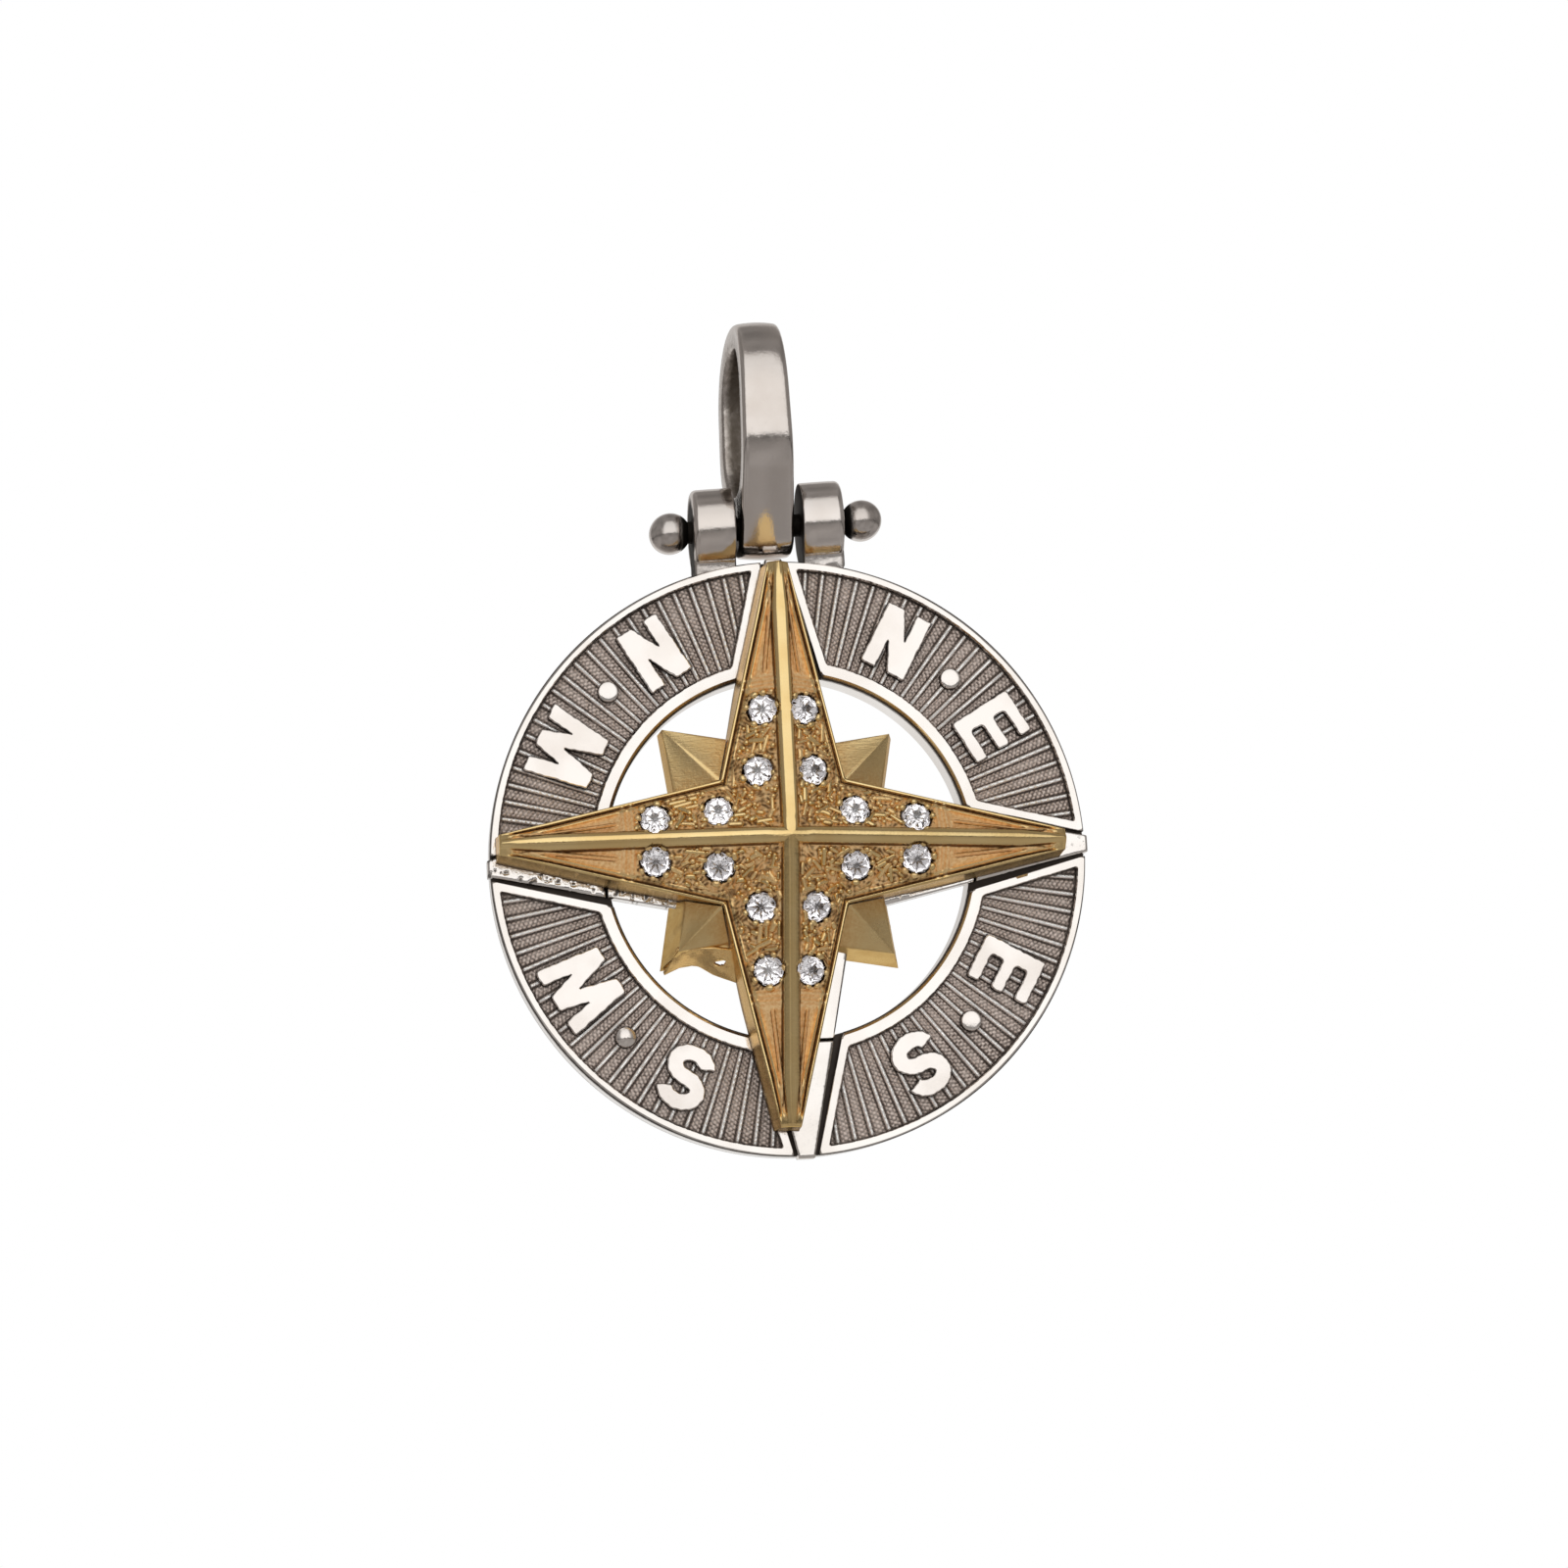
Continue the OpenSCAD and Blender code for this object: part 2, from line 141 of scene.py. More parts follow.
studio = bpy.data.worlds.new("studio")
bpy.context.scene.world = studio
studio.use_nodes = True
air = studio.node_tree
air.nodes.clear()
look = shader(air, "ShaderNodeTexCoord").outputs["Generated"]
look_xyz = shader(air, "ShaderNodeSeparateXYZ", {0: look})
around = sums(air, "ARCTAN2", look_xyz.outputs[0], sums(air, "MULTIPLY", look_xyz.outputs[1], -1.0))
height = sums(air, "ARCSINE", look_xyz.outputs[2])
waver = sums(air, "MULTIPLY_ADD", clouds(air, look, 5.0), 0.16, -0.08)
waver = sums(air, "MULTIPLY_ADD", clouds(air, look, 40.0), 0.05,
             sums(air, "SUBTRACT", waver, 0.025))
height = sums(air, "ADD", height, waver)
around = sums(air, "ADD", around, waver)
window = sums(air, "MULTIPLY", ramp(air, around, -1.0, -0.5), ramp(air, around, 0.95, 0.4))
window = sums(air, "MULTIPLY", window, ramp(air, height, -0.08, -0.04))
window = sums(air, "MULTIPLY", window, ramp(air, height, 1.3, 1.0))
window = sums(air, "MULTIPLY", window, ramp(air, height, 0.0, 1.3, 1.12, 0.85))
rear = sums(air, "MULTIPLY", ramp(air, look_xyz.outputs[1], 0.6, 0.76),
            ramp(air, height, -0.3, 0.3, 0.85, 0.6))
room = ramp(air, clouds(air, look, 2.2, 1.0), 0.3, 0.7, 0.19, 0.31)
room = sums(air, "ADD", room, ramp(air, height, -0.1, -0.35, 0.0, 0.10))
seam = sums(air, "MULTIPLY", ramp(air, height, -0.15, -0.12), ramp(air, height, -0.05, -0.09))
room = sums(air, "MULTIPLY", room, sums(air, "MULTIPLY_ADD", seam, -0.85, 1.0))
glow = sums(air, "MAXIMUM", sums(air, "MAXIMUM", window, rear), room)
path = shader(air, "ShaderNodeLightPath")
inside = sums(air, "MULTIPLY", sums(air, "MAXIMUM", glow, 0.35), 1.7)
glow = sums(air, "MULTIPLY_ADD", path.outputs["Is Transmission Ray"],
            sums(air, "SUBTRACT", inside, glow), glow)
tint = blend(air, ramp(air, glow, 0.2, 0.9), (1.0, 0.94, 0.90, 1), (1.0, 0.985, 0.965, 1))
seen = shader(air, "ShaderNodeBackground", {"Color": tint, "Strength": glow})
white = shader(air, "ShaderNodeBackground", {"Color": (1, 1, 1, 1), "Strength": 1.0})
plain = sums(air, "MAXIMUM", path.outputs["Is Camera Ray"], path.outputs["Is Diffuse Ray"])
both = shader(air, "ShaderNodeMixShader", {0: plain, 1: seen.outputs[0], 2: white.outputs[0]})
shader(air, "ShaderNodeOutputWorld", {"Surface": both.outputs[0]})

floor_z, floor_half = -130.0, 700.0
floor_mesh = bpy.data.meshes.new("floor")
floor_mesh.from_pydata([(x * floor_half * mm, y * floor_half * mm, floor_z * mm) for x, y in
                        ((-1, -1), (1, -1), (1, 1), (-1, 1))], [], [(0, 1, 2, 3)])
floor = added("floor", floor_mesh)
paper = bpy.data.materials.new("white_paper")
paper.use_nodes = True
paper.node_tree.nodes["Principled BSDF"].inputs["Base Color"].default_value = (0.97, 0.97, 0.97, 1)
paper.node_tree.nodes["Principled BSDF"].inputs["Roughness"].default_value = 0.9
floor_mesh.materials.append(paper)
floor.visible_glossy = floor.visible_transmission = False
floor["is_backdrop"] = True

# Ring body
# A flat cast band of white metal, thick as a coin edge, with its corners eased. Its front is
# sunk to one floor, on which the borders, letters and ridges stand up; the hollows are oxidised.
ring_r, opening_r = 12.5, 7.65
panel_out_r, panel_in_r = 12.17, 8.27
floor_h = -0.45


def upright(x, y, h):
    """Plan x stays x, plan y becomes height above the ring's centre, and h comes forwards from
    the ring's front."""
    x, y, h = np.broadcast_arrays(x, y, h)
    return np.stack([x, -ring_t / 2 - h, ring_z + y], -1).reshape(-1, 3)


def net(rows, cols, closed_rows=False, closed_cols=False):
    """Four-cornered faces between neighbouring points of a grid, wrapped round where it closes."""
    i = np.arange(rows if closed_rows else rows - 1)[:, None]
    j = np.arange(cols if closed_cols else cols - 1)[None, :]
    k, l = (i + 1) % rows, (j + 1) % cols
    return np.stack([i * cols + j, i * cols + l, k * cols + l, k * cols + j], -1).reshape(-1, 4)


def fresh(name):
    """A new material, its node tree, its surface shader, and the place on the object."""
    made = bpy.data.materials.new(name)
    made.use_nodes = True
    tree = made.node_tree
    place = shader(tree, "ShaderNodeTexCoord").outputs["Object"]
    return made, tree, tree.nodes["Principled BSDF"], place


def attribute(tree, name):
    """The value of a mark on the mesh."""
    return shader(tree, "ShaderNodeAttribute", attribute_name=name).outputs["Fac"]


def clouded(tree, cloud, colour, shares, dense=0.7):
    """A colour whose parts are lessened to these shares where the cloud is dense."""
    lesser = [c * k for c, k in zip(colour, shares)]
    return blend(tree, ramp(tree, cloud, 0.35, dense), (*colour, 1), (*lesser, 1))


def bumped(tree, body, relief, depth):
    """Give the surface a fine relief, whose value is told in parts of the depth in metres."""
    bump = shader(tree, "ShaderNodeBump", {"Height": relief, "Strength": 1.0, "Distance": depth})
    tree.links.new(bump.outputs[0], body.inputs["Normal"])


def polished(name, colour, rough, dull_colour=(0.05, 0.04, 0.035), dull_rough=0.5, scratch=1.0):
    """A polished metal that darkens and roughens where its tarnish-and-shade mark says, which
    stands both for oxide in the hollows and for painted shade, with soft uneven polish, hair
    scratches and small pits."""
    made, tree, body, place = fresh(name)
    dull = attribute(tree, "tarnish")
    broken = clouds(tree, place, 3500.0, 4.0, 0.6)
    cloud = clouds(tree, place, 420.0)
    dull = ramp(tree, sums(tree, "MULTIPLY_ADD", broken, 0.5, sums(tree, "SUBTRACT", dull, 0.25)),
                0.15, 0.85)
    shade = clouded(tree, cloud, colour, (0.93, 0.91, 0.89))
    tree.links.new(blend(tree, dull, shade, (*dull_colour, 1)), body.inputs["Base Color"])
    body.inputs["Metallic"].default_value = 1.0
    fine = clouds(tree, place, 9000.0, 2.0)
    gloss = ramp(tree, cloud, 0.3, 0.7, rough * 0.8, rough * 1.35)
    gloss = sums(tree, "MULTIPLY_ADD", ramp(tree, fine, 0.6, 0.75), 0.08, gloss)
    gloss = sums(tree, "ADD", gloss, sums(tree, "MULTIPLY", dull, dull_rough))
    tree.links.new(gloss, body.inputs["Roughness"])
    drawn = shader(tree, "ShaderNodeMapping", {"Vector": place, "Scale": (5.0, 5.0, 1.0),
                                               "Rotation": (0.4, 0.7, 0.3)}).outputs[0]
    relief = sums(tree, "MULTIPLY_ADD", clouds(tree, drawn, 2500.0, 2.0), 0.4,
                  sums(tree, "MULTIPLY", fine, 0.5))
    relief = sums(tree, "MULTIPLY_ADD", broken, sums(tree, "MULTIPLY", dull, 4.0), relief)
    relief = sums(tree, "MULTIPLY_ADD", cloud, 2.5, relief)
    bumped(tree, body, relief, 0.0000035 * scratch)
    return made


def sealed(mesh):
    """Close a mesh's seams and poles, and turn its faces outwards."""
    weld = 0.0005 * mm
    work = bmesh.new()
    work.from_mesh(mesh)
    bmesh.ops.remove_doubles(work, verts=work.verts, dist=weld)
    bmesh.ops.dissolve_degenerate(work, edges=work.edges, dist=weld / 4)
    bmesh.ops.recalc_face_normals(work, faces=work.faces)
    work.to_mesh(mesh)
    work.free()


def piece(name, parts, finish, stands_for=(), slot="white_metal", body="pendant", crisp=35,
          **marks):
    """Join closed surfaces, each given as points in millimetres and faces, into one mesh: close
    its seams and poles, turn its faces outwards, and keep edges sharper than crisp degrees. A
    mark is an attribute that the material reads, with one value for each point."""
    start, points, faces = 0, [], []
    for spot, nets in parts:
        points.append(spot)
        for some in nets if isinstance(nets, list) else [nets]:
            faces += (np.asarray(some) + start).tolist()
        start += len(spot)
    mesh = bpy.data.meshes.new(name)
    mesh.from_pydata((np.concatenate(points) * mm).tolist(), [], faces)
    for mark in ("tarnish", "soot"):
        depth = np.concatenate([np.ravel(m) for m in marks.get(mark, [np.zeros(start)])])
        mesh.attributes.new(mark, "FLOAT", "POINT").data.foreach_set("value", depth)
    sealed(mesh)
    mesh.set_sharp_from_angle(angle=math.radians(crisp))
    corners = np.zeros(len(mesh.polygons), np.int32)
    mesh.polygons.foreach_get("loop_total", corners)
    mesh.polygons.foreach_set("use_smooth", corners <= 4)
    mesh.materials.append(finish)
    made = added(name, mesh)
    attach(made, body)
    if stands_for:
        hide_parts(*stands_for)
    return made


ring_metal = polished("ring_white_metal", (0.93, 0.90, 0.87), 0.09, (0.10, 0.085, 0.075))
turn = np.linspace(0, 2 * np.pi, 420, endpoint=False)[:, None]
ease = np.radians(np.linspace(0, 90, 6))
section = np.array([(opening_r, -1.88), (opening_r, -1.2), (opening_r, -0.47), (7.67, floor_h),
                    (9.9, floor_h), (12.44, floor_h), (ring_r, floor_h - 0.06), (ring_r, -1.1)]
                   + [(ring_r - 0.3 + 0.3 * math.cos(a), -1.7 - 0.3 * math.sin(a)) for a in ease]
                   + [(10.0, -2.0), (opening_r + 0.12, -2.0)])
sunk = np.array([0, 0, 0.3, 1, 1, 1, 0.2, 0] + [0] * 8, float)
wobble = 0.012 * np.sin(5 * turn + 1) * np.sin(9 * turn)
ring_points = upright(section[:, 0] * np.cos(turn), section[:, 0] * np.sin(turn),
                      section[:, 1] + wobble * (sunk < 0.5) * (section[:, 1] < -1))
piece("ring_body", [(ring_points, net(len(turn), len(section), True, True))], ring_metal,
      ["ring"], tarnish=[np.broadcast_to(sunk, (len(turn), len(section)))])

# Borders
# Four polished frames of the same casting, one round each panel. They are filed flat level
# with the ring's front, a little unevenly by hand, with an eased outer edge and crisp corners.
side_w = 0.35
channel_half, channel_flare = 0.59, 0.254
rim_ease, opening_ease, side_ease = 0.12, 0.16, 0.03


def quadrant_loop(out_r, in_r, half, corner, counts=(200, 60, 130, 60)):
    """Outline of a quarter band between two arcs and two channel sides, each side evenly
    divided, with its four corners turned on a short parabola. Runs against the clock."""
    def on_side(r):
        """Where the channel's side, which lies half + flare * (panel edge - x) from the axis,
        meets radius r."""
        f, c = channel_flare, half + channel_flare * panel_out_r
        x = (c * f + math.sqrt(c * c * f * f - (1 + f * f) * (c * c - r * r))) / (1 + f * f)
        return np.array([x, c - f * x])
    far, near = on_side(out_r), on_side(in_r)
    a_out, a_in = np.arctan2(far[1], far[0]), np.arctan2(near[1], near[0])
    run = np.hypot(*(far - near))
    reach = [out_r * (np.pi / 2 - 2 * a_out), run, in_r * (np.pi / 2 - 2 * a_in), run]
    share = [corner / r + np.linspace(0, 1, n)[:, None] * (1 - 2 * corner / r)
             for r, n in zip(reach, counts)]
    a = a_out + share[0] * (np.pi / 2 - 2 * a_out)
    b = np.pi / 2 - a_in - share[2] * (np.pi / 2 - 2 * a_in)
    sides = [out_r * np.hstack([np.cos(a), np.sin(a)]), (far + share[1] * (near - far))[:, ::-1],
             in_r * np.hstack([np.cos(b), np.sin(b)]), near + share[3] * (far - near)]
    tips = [far[::-1], near[::-1], near, far]
    t = np.linspace(0, 1, 8)[1:-1, None]
    loop = []
    for k in range(4):
        loop += [sides[k], (1 - t) ** 2 * sides[k][-1] + 2 * t * (1 - t) * tips[k]
                 + t ** 2 * sides[(k + 1) % 4][0]]
    return np.concatenate(loop)


def quarter_turns(points, number):
    """Plan points turned by a number of quarter turns about the centre."""
    c, s = [(1, 0), (0, 1), (-1, 0), (0, -1)][number % 4]
    return np.stack([points[..., 0] * c - points[..., 1] * s,
                     points[..., 0] * s + points[..., 1] * c], -1)


def ripple(count, seed, waves, size):
    """A smooth closed hand-made unevenness: sines of random phase added round the loop."""
    draw = np.random.default_rng(seed)
    along = np.linspace(0, 2 * np.pi, count, endpoint=False)
    out = sum(np.sin(w * along + draw.uniform(0, 6.28)) * draw.uniform(0.4, 1) for w in waves)
    return size * out / math.sqrt(len(waves))


outer_loop = quadrant_loop(ring_r - 0.004, opening_r + 0.004, channel_half, 0.06)
inner_loop = quadrant_loop(panel_out_r, panel_in_r, channel_half + side_w, 0.16)
loop_n = len(outer_loop)
at_r = np.hypot(*outer_loop.T)
on_rim = np.clip((at_r - 12.3) / 0.15, 0, 1)
on_opening = np.clip((7.9 - at_r) / 0.15, 0, 1)
edge_w = side_ease + on_rim * (rim_ease - side_ease) + on_opening * (opening_ease - side_ease)
across = inner_loop - outer_loop
across_w = np.hypot(*across.T)
channel = 1 - np.maximum(on_rim, on_opening)
parts, dulls = [], []
for quadrant in range(4):
    hand = ripple(loop_n, 40 + quadrant, (23, 41, 67, 97, 151), 0.011)
    flat = ripple(loop_n, 50 + quadrant, (5, 11, 17), 0.004)
    steps = [(0 * edge_w, -0.6 + 0 * edge_w), (0 * edge_w, -edge_w),
             (0.35 * edge_w, -0.45 * edge_w), (edge_w, flat), (across_w * 0.5, flat * 0.3),
             (across_w - 0.035 + hand, flat - 0.004), (across_w + hand, flat - 0.045),
             (across_w + 0.03 + hand, -0.6 + 0 * edge_w)]
    rails = [outer_loop + across * (w / across_w)[:, None] for w, h in steps]
    rails = quarter_turns(np.stack(rails, 1), quadrant)
    rise = np.stack([h for w, h in steps], 1)
    parts.append((upright(rails[..., 0], rails[..., 1], rise), net(loop_n, len(steps), True, True)))
    # The eased edges at the rim and the opening are painted dark as a line of shade. The walls into
    # the channels are darker towards their foot, and the wall down to each panel darkens into the
    # panel's oxide.
    dulls.append(np.stack([0.2 + 0.8 * channel, 0.95 - 0.4 * channel, 0.55 - 0.45 * channel]
                          + [0 * channel] * 3 + [0.25 + 0 * channel, 1 + 0 * channel], 1))
piece("ring_borders", parts, ring_metal, ["ring"], tarnish=dulls, crisp=28)

# Letters and dots
# Raised capitals for the four points of the compass, twice each, and a round dot in the middle
# of each panel. They are cast with the ring, bold and flat, filed level with the borders, and
# set by hand, so that each stands a degree or so off its even place.
letter_h, letter_turn = 2.75, 30.0
stroke, arm_w, slant_w = 0.66, 0.53, 0.76
n_w, e_w, s_w, w_w = 2.0, 1.95, 2.05, 3.1
dot_d = 0.82
letter_off = {"e": (-0.2, 0.0), "n": (0.6, 0.8), "w": (1.9, -0.4), "s": (1.8, -0.7)}
middle_r = (panel_out_r + panel_in_r) / 2
letter_metal = polished("letter_white_metal", (0.93, 0.885, 0.85), 0.16, scratch=1.3)


def rounded(corners, radius, steps=6):
    """A polygon with each corner turned on a parabola that starts radius away along both sides."""
    corners = np.asarray(corners, float)
    radius = np.broadcast_to(np.asarray(radius, float), len(corners))[:, None]
    back, on = np.roll(corners, 1, 0) - corners, np.roll(corners, -1, 0) - corners
    start = corners + back / np.hypot(*back.T)[:, None] * radius
    end = corners + on / np.hypot(*on.T)[:, None] * radius
    t = np.linspace(0, 1, steps)[None, :, None]
    turn = ((1 - t) ** 2 * start[:, None] + 2 * t * (1 - t) * corners[:, None]
            + t ** 2 * end[:, None])
    return turn.reshape(-1, 2)


def even(loop, step):
    """A closed outline walked again in even steps."""
    closed = np.vstack([loop, loop[:1]])
    run = np.concatenate([[0], np.cumsum(np.hypot(*np.diff(closed, axis=0).T))])
    at = np.linspace(0, run[-1], max(12, int(run[-1] / step)), endpoint=False)
    return np.stack([np.interp(at, run, closed[:, 0]), np.interp(at, run, closed[:, 1])], 1)


def outward(loop):
    """Unit normals of a closed outline that runs against the clock."""
    along = np.roll(loop, -1, 0) - np.roll(loop, 1, 0)
    return np.stack([along[:, 1], -along[:, 0]], 1) / np.hypot(*along.T)[:, None]


h2, n2, e2 = letter_h / 2, n_w / 2, e_w / 2
join = h2 - letter_h * (stroke / (n_w - slant_w))
half_n = [(-n2, -h2), (-n2 + stroke, -h2), (-n2 + stroke, join), (n2 - slant_w, -h2), (n2, -h2)]
letter_n = rounded(half_n + [(-x, -y) for x, y in half_n], [0.1, 0.1, 0.07, 0.1, 0.1] * 2)
slot_y = [-h2, -h2 + arm_w, -arm_w / 2, arm_w / 2, h2 - arm_w, h2]
letter_e = rounded([(-e2, slot_y[0]), (e2, slot_y[0]), (e2, slot_y[1]), (-e2 + stroke, slot_y[1]),
                    (-e2 + stroke, slot_y[2]), (e2, slot_y[2]), (e2, slot_y[3]),
                    (-e2 + stroke, slot_y[3]), (-e2 + stroke, slot_y[4]), (e2, slot_y[4]),
                    (e2, slot_y[5]), (-e2, slot_y[5])],
                   [0.14, 0.13, 0.13, 0.2, 0.2, 0.13, 0.13, 0.2, 0.2, 0.13, 0.13, 0.14])
foot = w_w / 4 + stroke / 2
half_w = [(foot - stroke, -h2), (foot, -h2), (w_w / 2, h2), (w_w / 2 - stroke, h2),
          (0.686, 0.113), (stroke / 2, h2)]
letter_w = rounded(half_w + [(-x, y) for x, y in half_w[::-1]] + [(0, 0.204)],
                   [0.12, 0.12, 0.14, 0.12, 0.06, 0.14, 0.14, 0.06, 0.12, 0.14, 0.12, 0.12, 0.05])
bow_a, bow_b = (s_w - stroke) / 2, (letter_h - stroke) / 4
upper, lower = np.radians(np.linspace(12, 270, 40)), np.radians(np.linspace(90, -168, 40))[1:]
spine = np.concatenate([np.stack([bow_a * np.cos(upper), bow_b + bow_b * np.sin(upper)], 1),
                        np.stack([bow_a * np.cos(lower), -bow_b + bow_b * np.sin(lower)], 1)])
run = np.gradient(spine, axis=0)
flank = np.stack([-run[:, 1], run[:, 0]], 1) / np.hypot(*run.T)[:, None] * stroke / 2
letter_s = even(np.concatenate([spine - flank, (spine + flank)[::-1]]), 0.05)
letter_s = (np.roll(letter_s, 1, 0) + letter_s + np.roll(letter_s, -1, 0)) / 3
shapes = {"e": letter_e, "n": letter_n, "w": letter_w, "s": letter_s}
dot_a = np.linspace(0, 2 * np.pi, 60, endpoint=False)
dot = np.stack([np.cos(dot_a), np.sin(dot_a)], 1) * dot_d / 2


def raised(outline, top, wear, crown=0.0):
    """A filed flat solid on the panel: its wall leans in slightly, its upper edge is eased, and
    its top is one flat face, or a low dome for a crown."""
    away = outward(outline)
    rings = [(0.03, -0.6), (0.012, -0.2), (0.0, -0.05), (-0.012, -0.015), (-0.04, 0.0)]
    if crown:
        rings += [(-0.12, crown * 0.45), (-0.25, crown * 0.85), (-0.36, crown)]
    spot = np.stack([outline + away * (w + wear * (0.3 - w))[:, None] for w, h in rings])
    rise = np.broadcast_to(np.array([top + h for w, h in rings])[:, None], spot.shape[:2])
    count = len(outline)
    faces = [net(len(rings), count, False, True), [list(range(count))],
             [list(range((len(rings) - 1) * count, len(rings) * count))]]
    # The wall darkens towards its foot: oxide in the recess round it, and painted contact shade.
    dull = np.repeat(np.array(([1, 0.75, 0.15, 0, 0] + [0, 0, 0] * bool(crown)))[:, None], count, 1)
    return spot, rise, faces, dull


stamped = []
parts, dulls = [], []
for arm, letter in enumerate("enws"):
    for side in (-1, 1):
        lean = math.radians(90 * arm + side * letter_turn - 90 + letter_off[letter][side > 0])
        outline = even(shapes[letter], 0.045)
        jitter = 0.06 * ripple(len(outline), 70 + 2 * arm + side, (9, 15, 24, 33, 47), 1.0)
        c, s = math.cos(lean), math.sin(lean)
        spot, rise, faces, dull = raised(outline, 0.0, jitter)
        x, y = spot[..., 0], spot[..., 1] + middle_r
        place = np.stack([c * x - s * y, s * x + c * y], -1)
        stamped.append(place[2])
        parts.append((upright(place[..., 0], place[..., 1], rise), faces))
        dulls.append(dull)
for quadrant in range(4):
    a = math.radians(90 * quadrant + 45)
    spot, rise, faces, dull = raised(dot, -0.02, 0 * dot_a, crown=0.12 if quadrant == 2 else 0.02)
    spot = spot + np.array([math.cos(a), math.sin(a)]) * middle_r
    stamped.append(spot[2])
    parts.append((upright(spot[..., 0], spot[..., 1], rise), faces))
    dulls.append(dull)
piece("letters_and_dots", parts, letter_metal, ["ring"], tarnish=dulls)

# Panel fields
# The floor of each panel is textured like cord: thin bright ridges run out from the centre, a
# duller knitted rope lies between each two, and all the hollows are oxidised dark brown.
ridge_pitch = math.radians(3.5)
ridge_h, rope_h, stitch = 0.2, 0.12, 0.2
# Ridges in one panel, and the farthest that a letter or a dot reaches from its middle
ridges, mark_reach = 25, 2.3

cord_metal, tree, body, place = fresh("oxidised_panel")
place_y = shader(tree, "ShaderNodeSeparateXYZ", {0: place}).outputs[1]
cloud = clouds(tree, place, 700.0)
crumb = clouds(tree, place, 8000.0)
floor_y, top_y = -(ring_t / 2 + floor_h) * mm, -(ring_t / 2 + floor_h + ridge_h) * mm
up_share = ramp(tree, place_y, floor_y, top_y, smooth=False)
up_share = sums(tree, "MULTIPLY_ADD", sums(tree, "SUBTRACT", crumb, 0.5), 0.30, up_share)
deep = blend(tree, ramp(tree, cloud, 0.35, 0.65), (0.13, 0.10, 0.085, 1), (0.31, 0.26, 0.23, 1))
cord = blend(tree, ramp(tree, up_share, 0.08, 0.5), deep, (0.86, 0.74, 0.67, 1))
cord = blend(tree, ramp(tree, up_share, 0.66, 0.82), cord, (1.0, 0.99, 0.97, 1))
tree.links.new(cord, body.inputs["Base Color"])
body.inputs["Metallic"].default_value = 0.55
tree.links.new(ramp(tree, up_share, 0.5, 0.95, 0.5, 0.22), body.inputs["Roughness"])
bumped(tree, body, crumb, 0.000015)

ridge_at, ridge_up = np.array([-0.09, -0.06, -0.034, 0.034, 0.06, 0.09]), [0, 0.75, 1, 1, 0.75, 0]
rope_at = np.array([-0.19, -0.13, -0.07, 0.0, 0.07, 0.13, 0.19])
rope_mean, rope_swing = [0, 0.6, 0.35, 0.62, 0.35, 0.6, 0], [0, 0.4, 0.0, -0.4, 0.0, 0.4, 0]
rows = np.linspace(panel_in_r - 0.06, panel_out_r + 0.06, 100)
draw = np.random.default_rng(7)
column = np.arange(len(ridge_at) + len(rope_at))
in_rope = column >= len(ridge_at)
turn_k = np.arange(ridges)[:, None] - ridges // 2
angle = ((turn_k + 0.5 * in_rope) * ridge_pitch).ravel()
offset = np.tile(np.append(ridge_at, rope_at), ridges)
is_rope = np.tile(in_rope, ridges)
ridge_part = np.tile(np.append(ridge_up, 0 * rope_at), ridges)
mean_part = np.tile(np.append(0 * ridge_at, rope_mean), ridges)
swing_part = np.tile(np.append(0 * ridge_at, rope_swing), ridges)
r = rows[:, None]
for quadrant, name in enumerate(("ne", "nw", "sw", "se")):
    seed = np.repeat(draw.uniform(0, 6.28, ridges), len(column))
    theta = np.pi / 4 + angle + np.where(is_rope, offset * r / middle_r, offset) / r
    edge = channel_half + side_w * 0.5 + channel_flare * (panel_out_r - r)
    shy = np.arcsin(np.clip(edge / r, 0, 1))
    theta = np.clip(theta, shy, np.pi / 2 - shy)
    x, y = r * np.cos(theta), r * np.sin(theta)
    bright = ridge_h * ridge_part * (0.93 + 0.10 * np.sin(7 * r + seed) * np.sin(17 * r + 2 * seed))
    rope = rope_h * (mean_part + swing_part * np.sin(2 * np.pi * r / stitch + seed))
    side = (np.minimum(x, y) - channel_half - side_w
            - channel_flare * (panel_out_r - np.maximum(x, y)))
    gap = np.minimum(np.minimum(panel_out_r - r, r - panel_in_r), side)
    plan = quarter_turns(np.stack([x, y], -1), quadrant).reshape(-1, 2)
    gap = gap.reshape(-1)
    for mark in stamped:
        close = np.hypot(*(plan - mark.mean(0)).T) < mark_reach
        if close.any():
            far = np.sqrt(((plan[close][:, None] - mark[None]) ** 2).sum(-1)).min(1)
            gap[close] = np.minimum(gap[close], far + 0.03)
    fade = np.clip((gap.reshape(x.shape) - 0.02) / 0.07, 0, 1)
    pits = 0.012 * np.sin(31 * x + 3 * quadrant) * np.sin(37 * y) + 0.008 * np.sin(83 * x + 71 * y)
    top = floor_h + (bright + rope) * fade + pits
    count_r, count_c = top.shape
    rim = np.concatenate([np.arange(count_c), np.arange(1, count_r) * count_c + count_c - 1,
                          (count_r - 1) * count_c + np.arange(count_c - 1)[::-1],
                          np.arange(1, count_r - 1)[::-1] * count_c])
    spots = np.concatenate([upright(plan[:, 0], plan[:, 1], top.reshape(-1)),
                            upright(plan[rim, 0], plan[rim, 1], floor_h - 0.08)])
    low = count_r * count_c + np.arange(len(rim))
    skirt = np.stack([rim, np.roll(rim, -1), np.roll(low, -1), low], -1)
    piece("panel_" + name, [(spots, [net(count_r, count_c), skirt, [low[::-1].tolist()]])],
          cord_metal, ["ring"], crisp=60)

